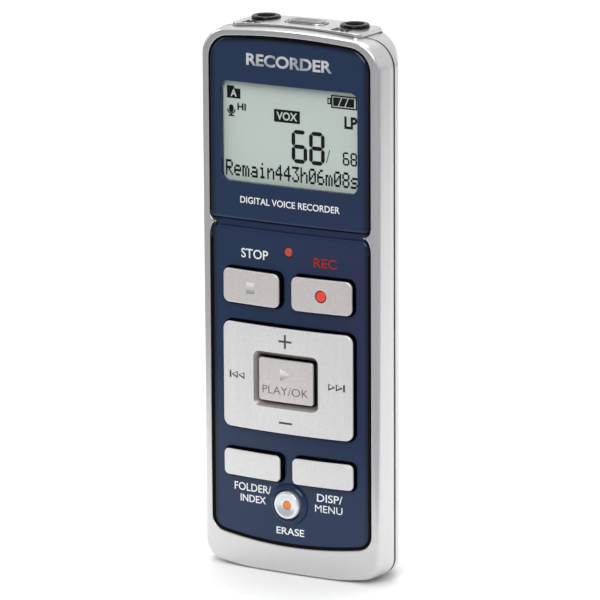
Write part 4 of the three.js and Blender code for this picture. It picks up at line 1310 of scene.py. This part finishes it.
def on_top(x, d, lift):
    return x, FACE_Y + d, PLATE_TOP - x * x / (2 * FACE_RADIUS) - 0.01 + 0.03 * lift


def printed_words():
    lens = on_surface(bowed(0.0, LENS_RADIUS))
    panel = on_surface(bowed(0.0, FACE_RADIUS))
    play = on_surface(bowed(-KEY_PROUD + PLAY_LIFT, KEY_RADIUS))
    rows = [
        ("word_recorder", "RECORDER", (0.3, 95.3), 17.7, 2.25, lens, 0.03, "silver_print", "white_plastic"),
        ("word_digital", "DIGITAL VOICE RECORDER", (0.3, 69.3), 20.7, 1.25, lens, 0.012, "white_print",
         "white_plastic"),
        ("word_stop", "STOP", (-7.1, 59.4), 5.75, 1.75, panel, 0.01, "white_print", "white_plastic"),
        ("word_rec", "REC", (7.6, 59.2), 4.6, 1.75, panel, 0.012, "red_print", "red_mark"),
        ("word_folder", "FOLDER/", (-7.9, 15.4), 7.9, 1.5, panel, 0.01, "white_print", "white_plastic"),
        ("word_index", "INDEX", (-7.8, 13.3), 5.5, 1.35, panel, 0.012, "white_print", "white_plastic"),
        ("word_disp", "DISP/", (8.3, 15.35), 5.2, 1.5, panel, 0.01, "white_print", "white_plastic"),
        ("word_menu", "MENU", (8.1, 13.3), 5.6, 1.35, panel, 0.0, "white_print", "white_plastic"),
        ("word_erase", "ERASE", (0.1, 8.15), 5.85, 1.35, panel, 0.012, "white_print", "white_plastic"),
    ]
    for name, text, centre, width, height, at, bold, finish_name, slot in rows:
        finish(lettering(name, text, centre, width, height, at, bold), finish_name, "root", slot)
    word = lettering("word_play", "PLAY/OK", (-0.05, PLAY[1] - 1.83), 9.55, 1.45, play, -0.012)
    finish(word, "engraved", "play", "warm_key")
    for name, text, x in (("word_mic", "MIC", -9.5), ("word_ear", "EAR", 9.0)):
        word = lettering(name, text, (x, 4.4), 3.7, 2.8, on_top, 0.055)
        finish(word, "dark_print", "root", "black_plastic")


# ---- Display ----
LCD_Y = span("lcd_panel")[0].y
INK = 0.03
DOTS = {
    "R": "11110 10001 10001 11110 10100 10010 10001",
    "e": "00000 00000 01110 10001 11111 10000 01110",
    "m": "00000 00000 11010 10101 10101 10101 10101",
    "a": "00000 00000 01110 00001 01111 10001 01111",
    "i": "00100 00000 01100 00100 00100 00100 01110",
    "n": "00000 00000 10110 11001 10001 10001 10001",
    "4": "00010 00110 01010 10010 11111 00010 00010",
    "3": "11111 00010 00100 00010 00001 10001 01110",
    "h": "10000 10000 10110 11001 10001 10001 10001",
    "0": "01110 10001 10011 10101 11001 10001 01110",
    "6": "00110 01000 10000 11110 10001 10001 01110",
    "8": "01110 10001 10001 01110 10001 10001 01110",
    "s": "00000 00000 01111 10000 01110 00001 11110",
}
BARS = {"6": "acdefg", "8": "abcdefg"}


def ink_plate(name, outline):
    return prism(name, outline, lambda x: LCD_Y, -INK, -0.005)


def segment(x, z, long, thick, lying):
    """One bar of a numeral: a thin six-sided plate with pointed ends."""
    half, wide = long / 2, thick / 2
    shape = [(-half, 0), (-half + wide, wide), (half - wide, wide), (half, 0),
             (half - wide, -wide), (-half + wide, -wide)]
    return [(x + a, z + b) if lying else (x + b, z + a) for a, b in shape]


def numeral(digit, left, low, wide, tall, thick):
    gap = thick * 0.16
    across, up = wide - thick, tall / 2 - thick / 2
    middle, right = left + wide / 2, left + wide - thick / 2
    edge = left + thick / 2
    spots = {
        "a": (middle, low + tall - thick / 2, across - gap, True),
        "g": (middle, low + tall / 2, across - gap, True),
        "d": (middle, low + thick / 2, across - gap, True),
        "b": (right, low + tall * 0.75 - thick / 4, up - gap, False),
        "c": (right, low + tall * 0.25 + thick / 4, up - gap, False),
        "e": (edge, low + tall * 0.25 + thick / 4, up - gap, False),
        "f": (edge, low + tall * 0.75 - thick / 4, up - gap, False),
    }
    return [ink_plate("bar", segment(x, z, long, thick, lying))
            for key, (x, z, long, lying) in spots.items() if key in BARS[digit]]


def dot_row(text, left, low, wide, tall):
    """Dot-matrix characters five dots across and seven high."""
    across = wide / (len(text) * 6 - 1)
    up = tall / 7
    points = []
    for place_in_row, letter in enumerate(text):
        for row, bits in enumerate(DOTS[letter].split()):
            height = low + (6.5 - row) * up
            points += [(left + (place_in_row * 6 + column + 0.5) * across, LCD_Y - INK / 2, height)
                       for column, bit in enumerate(bits) if bit == "1"]
    return repeated("lcd_dots", "bars", points, "lcd_ink", Size=millimetres(across * 1.12, INK, up * 1.04))


def framed(left, right, low, high, line):
    """A hollow frame drawn as four bars."""
    return [bar_outline((left + right) / 2, high - line / 2, (right - left) / 2, line / 2),
            bar_outline((left + right) / 2, low + line / 2, (right - left) / 2, line / 2),
            bar_outline(left + line / 2, (low + high) / 2, line / 2, (high - low) / 2 - line),
            bar_outline(right - line / 2, (low + high) / 2, line / 2, (high - low) / 2 - line)]


def battery_sign():
    left, right, low, high = 8.15, 13.48, 87.63, 90.03
    outlines = framed(left, right, low, high, 0.26)
    outlines += framed(left - 0.75, left - 0.02, low + 0.62, high - 0.62, 0.22)
    slope, inside = 0.35, 0.42
    edges = [(left + inside, left + 1.9), (left + 1.95, left + 3.25), (left + 3.3, right - inside)]
    for index, (a, b) in enumerate(edges):
        first = 0.0 if index == 0 else slope
        last = 0.0 if index == 2 else slope
        outlines.append([(a + first, high - inside), (b + last - 0.18, high - inside),
                         (b - last - 0.18, low + inside), (a - first, low + inside)])
    return outlines


def microphone_sign():
    x, top, radius = -12.62, 86.3, 0.48
    turns = [i / 10 * pi for i in range(11)]
    capsule = [(x + radius * cos(turn), top - radius + radius * sin(turn)) for turn in turns]
    capsule += [(x - radius * cos(turn), top - 0.95 - radius * sin(turn)) for turn in turns]
    wide, line, steps = 0.9, 0.26, 10
    cradle = []
    for i in range(steps):
        a, b = pi + i / steps * pi, pi + (i + 1) / steps * pi
        cradle.append([(x + r * cos(t), top - 0.85 + r * sin(t))
                       for r, t in ((wide, a), (wide, b), (wide - line, b), (wide - line, a))])
    return [capsule, *cradle, bar_outline(x, top - 1.8, 0.14, 0.16), bar_outline(x, top - 2.02, 0.62, 0.13)]


def display():
    outlines = [bar_outline(-12.1, 88.42, 1.4, 0.92), bar_outline(-12.75, 89.5, 0.74, 0.3)]
    outlines += [bar_outline(-1.0, 85.17, 2.68, 1.16)]
    outlines += battery_sign() + microphone_sign()
    outlines.append([(7.75, 79.85), (7.9, 79.85), (7.2, 77.4), (7.05, 77.4)])
    parts = [ink_plate("sign", outline) for outline in outlines]
    for digit, left in (("6", -0.05), ("8", 3.58)):
        parts += numeral(digit, left, 76.8, 3.2, 6.1, 0.74)
    for digit, left in (("6", 10.52), ("8", 12.1)):
        parts += numeral(digit, left, 77.35, 1.36, 2.45, 0.32)
    parts.append(dot_row("Remain443h06m08s", -13.85, 73.25, 27.45, 2.85))
    finish(joined("lcd_marks", parts), "lcd_ink", "root", "black_plastic", angle=20)
    ink = on_surface(lambda x: LCD_Y - 0.02)
    over = on_surface(lambda x: LCD_Y - 0.045)
    for name, text, centre, width, height, at, bold, finish_name, slot in (
            ("lcd_hi", "HI", (-10.45, 86.05), 1.8, 1.3, ink, 0.03, "lcd_ink", "black_plastic"),
            ("lcd_lp", "LP", (12.2, 85.2), 2.65, 2.25, ink, 0.035, "lcd_ink", "black_plastic"),
            ("lcd_a", "A", (-12.1, 88.5), 1.3, 1.35, over, 0.03, "lcd", "lcd"),
            ("lcd_vox", "VOX", (-1.0, 85.17), 4.3, 1.5, over, 0.02, "lcd", "lcd")):
        finish(lettering(name, text, centre, width, height, at, bold), finish_name, "root", slot)


# ---- Top, side and back details ----
def jack_rims():
    lip = [(2.68, 100.5), (2.68, 101.68), (2.6, 101.84), (2.42, 101.95), (2.2, 101.96),
           (1.98, 101.9), (1.8, 101.72), (1.72, 101.4), (1.7, 100.5)]
    sleeve = [(1.69, 101.0), (1.69, 100.2), (1.5, 100.2), (1.5, 101.0), (1.6, 101.08)]
    for side, name in ((-1, "mic_jack"), (1, "ear_jack")):
        at = upright(JACK_X * side, JACK_DEPTH)
        finish(turned(name + "_rim", lip, at, closed=True), "black_gloss", "root", "black_plastic", angle=60)
        finish(turned(name + "_contact", sleeve, at, 48, closed=True), "steel", "root", "steel", angle=50)


def mic_grille():
    stations = [(0, 100.4), (0, 101.62), (0.05, 101.7), (0.14, 101.74), (0.42, 101.74),
                (0.44, 101.9), (0.5, 101.97), (0.62, 102.0)]
    body = mic_pill("mic_grille", 4.2, 2.0, stations)
    slots = [(0, FACE_Y + MIC_DEPTH + (i - 1.5) * 0.66, 101.9) for i in range(4)]
    boolean(body, repeated("slots", "bars", slots, "grille_metal", Size=millimetres(5.0, 0.2, 0.7)))
    finish(body, "grille_metal", "root", "grille_metal", "mic_grille", weighted=True)


def hold_knob():
    low, high = span("hold_knob")
    knob = block("hold_knob", (low.x, 5.75, low.z), (-18.75, 7.45, high.z), 0.22)
    stem = block("stem", (-18.9, 6.2, (low.z + high.z) / 2 - 0.7), (-16.9, 7.0, (low.z + high.z) / 2 + 0.7))
    boolean(knob, stem, "UNION")
    ribs = [(low.x, FACE_Y + 6.6, (low.z + high.z) / 2 + (i - 2) * 0.7) for i in range(5)]
    boolean(knob, repeated("ribs", "bars", ribs, "silver_key", Size=millimetres(0.36, 3, 0.26)))
    finish(knob, "silver_key", "hold", "silver_key", "hold_knob", weighted=True)


def speaker_grille():
    edge = [(0, 16.9), (7.5, 16.9), (7.5, 17.78), (7.46, 17.86), (7.38, 17.9), (0, 17.9)]
    disc = turned("speaker_grille", edge, along_depth(0, SPEAKER_Z), 96)
    depth = FACE_Y + 17.4
    spots = [(0, depth, SPEAKER_Z)]
    for row in (1, 2, 3, 4):
        reach = 1.55 * row
        turns = [i * pi / (3 * row) for i in range(6 * row)]
        spots += [(reach * cos(turn), depth, SPEAKER_Z + reach * sin(turn)) for turn in turns]
    holes = repeated("grille_holes", "pins", spots, "silver_body", Radius=0.42 * MM, Length=3 * MM, Sides=20)
    boolean(disc, holes)
    finish(disc, "silver_body", "root", "silver_body", "speaker_grille", weighted=True)


def screw_heads():
    """Rounded heads and crossed recesses over the four case screws."""
    parts = []
    for x, z in SCREWS:
        head = [(0, 9.2), (1.4, 9.2), (1.4, 9.72), (1.3, 9.88), (1.1, 9.98), (0.7, 10.06), (0, 10.08)]
        parts.append(turned("head", head, along_depth(x, z), 48))
    heads = joined("screw_heads", parts)
    for size in ((1.7, 1.2, 0.34), (0.34, 1.2, 1.7)):
        spots = [(x, FACE_Y + 10.1, z) for x, z in SCREWS]
        boolean(heads, repeated("cross", "bars", spots, "steel", Size=millimetres(*size)))
    finish(heads, "steel", "root", "steel", weighted=True)


def details():
    jack_rims()
    mic_grille()
    hold_knob()
    speaker_grille()
    screw_heads()


KEPT_NODES = {
    "grey_rubber": ["pad_pivot_ring", "key_mat", "lcd_connector", "mic_boot"],
    "white_plastic": ["led_chip"],
    "dome_film": ["dome_sheet"],
    "board": ["main_board"],
    "lcd": ["lcd_panel"],
    "black_plastic": ["lcd_holder", "processor_chip", "memory_chip", "capacitor", "mic_jack", "ear_jack"],
    "steel": ["clock_crystal", "mic_capsule", "usb_socket", "hold_switch", "speaker_frame", "spring_left",
              "spring_right", "contact_low", "contact_left", "contact_right", "case_screw_1", "case_screw_2",
              "case_screw_3", "case_screw_4"],
    "speaker_paper": ["speaker_cone"],
    "magnet": ["speaker_magnet"],
    "cell_wrap": ["cell_left", "cell_right"],
}


def dress_kept_nodes():
    for finish_name, nodes in KEPT_NODES.items():
        for node in nodes:
            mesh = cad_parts[node].data
            mesh.materials.clear()
            mesh.materials.append(FINISHES[finish_name])


# ---- Room ----
def studio():
    """A white room with a dimmer stretch low in front of the object."""
    world = bpy.data.worlds.new("studio")
    bpy.context.scene.world = world
    world.use_nodes = True
    tree = world.node_tree
    background = tree.nodes["Background"]
    direction = tree.nodes.new("ShaderNodeTexCoord").outputs["Generated"]
    facing = tree.nodes.new("ShaderNodeVectorMath")
    facing.operation = "DOT_PRODUCT"
    facing.inputs[1].default_value = Vector((0.0, -0.98, 0.04)).normalized()
    tree.links.new(direction, facing.inputs[0])
    dim = stepped(tree, facing.outputs["Value"], cos(radians(74)), cos(radians(42)))
    tree.links.new(two_tone(tree, dim, (1.0, 1.0, 1.0), (0.34, 0.34, 0.35)), background.inputs["Color"])
    background.inputs["Strength"].default_value = 0.85


def soft_light(name, place_at, aim, size, radiance):
    """A round soft box of a given diameter and brightness."""
    data = bpy.data.lights.new(name, "AREA")
    data.shape = "DISK"
    data.size = size
    data.energy = radiance * pi * pi * size * size / 4
    made = link(bpy.data.objects.new(name, data))
    made.location = place_at
    made.rotation_euler = (Vector(aim) - Vector(place_at)).to_track_quat("-Z", "Y").to_euler()


def floor():
    """A pale sweep that turns grey in front and to the left of the object, out of view."""
    shape = bmesh.new()
    bmesh.ops.create_grid(shape, x_segments=8, y_segments=8, size=4)
    mesh = bpy.data.meshes.new("floor")
    shape.to_mesh(mesh)
    shape.free()
    made = link(bpy.data.objects.new("floor", mesh))
    paper, tree, shader, place_on = start_material("pale_floor")
    shader.inputs["Specular IOR Level"].default_value = 0.1
    masks = []
    for heading, start, end in (((0.5, -0.866, 0), 0.028, 0.085), ((-0.866, -0.5, 0), 0.095, 0.180)):
        along = tree.nodes.new("ShaderNodeVectorMath")
        along.operation = "DOT_PRODUCT"
        along.inputs[1].default_value = heading
        tree.links.new(place_on, along.inputs[0])
        masks.append(stepped(tree, along.outputs["Value"], start, end))
    near = math_node(tree, "MAXIMUM", *masks)
    surface = use_group(tree, "surface", place_on, Cloud_Strength=0.01, Handling=0.02, Roughness=0.7,
                        Flake_Strength=0.0)
    base = two_tone(tree, near, (0.82, 0.82, 0.82), (0.33, 0.33, 0.34))
    tree.links.new(tinted(tree, base, surface.outputs["Shade"]), shader.inputs["Base Color"])
    tree.links.new(surface.outputs["Roughness"], shader.inputs["Roughness"])
    mesh.materials.append(paper)


def room():
    bpy.context.scene.view_settings.view_transform = "Standard"
    studio()
    floor()
    soft_light("overhead", (-0.1, 0.25, 0.85), (0, 0, 0.05), 0.7, 4.0)
    soft_light("front", (0.34, -0.82, 0.72), (0, 0, 0.05), 0.8, 5.2)
    soft_light("left", (-0.85, -0.1, 0.6), (0, 0, 0.05), 0.4, 3.5)


camera()
room()
casings()
face()
keys()
printed_words()
display()
details()
dress_kept_nodes()
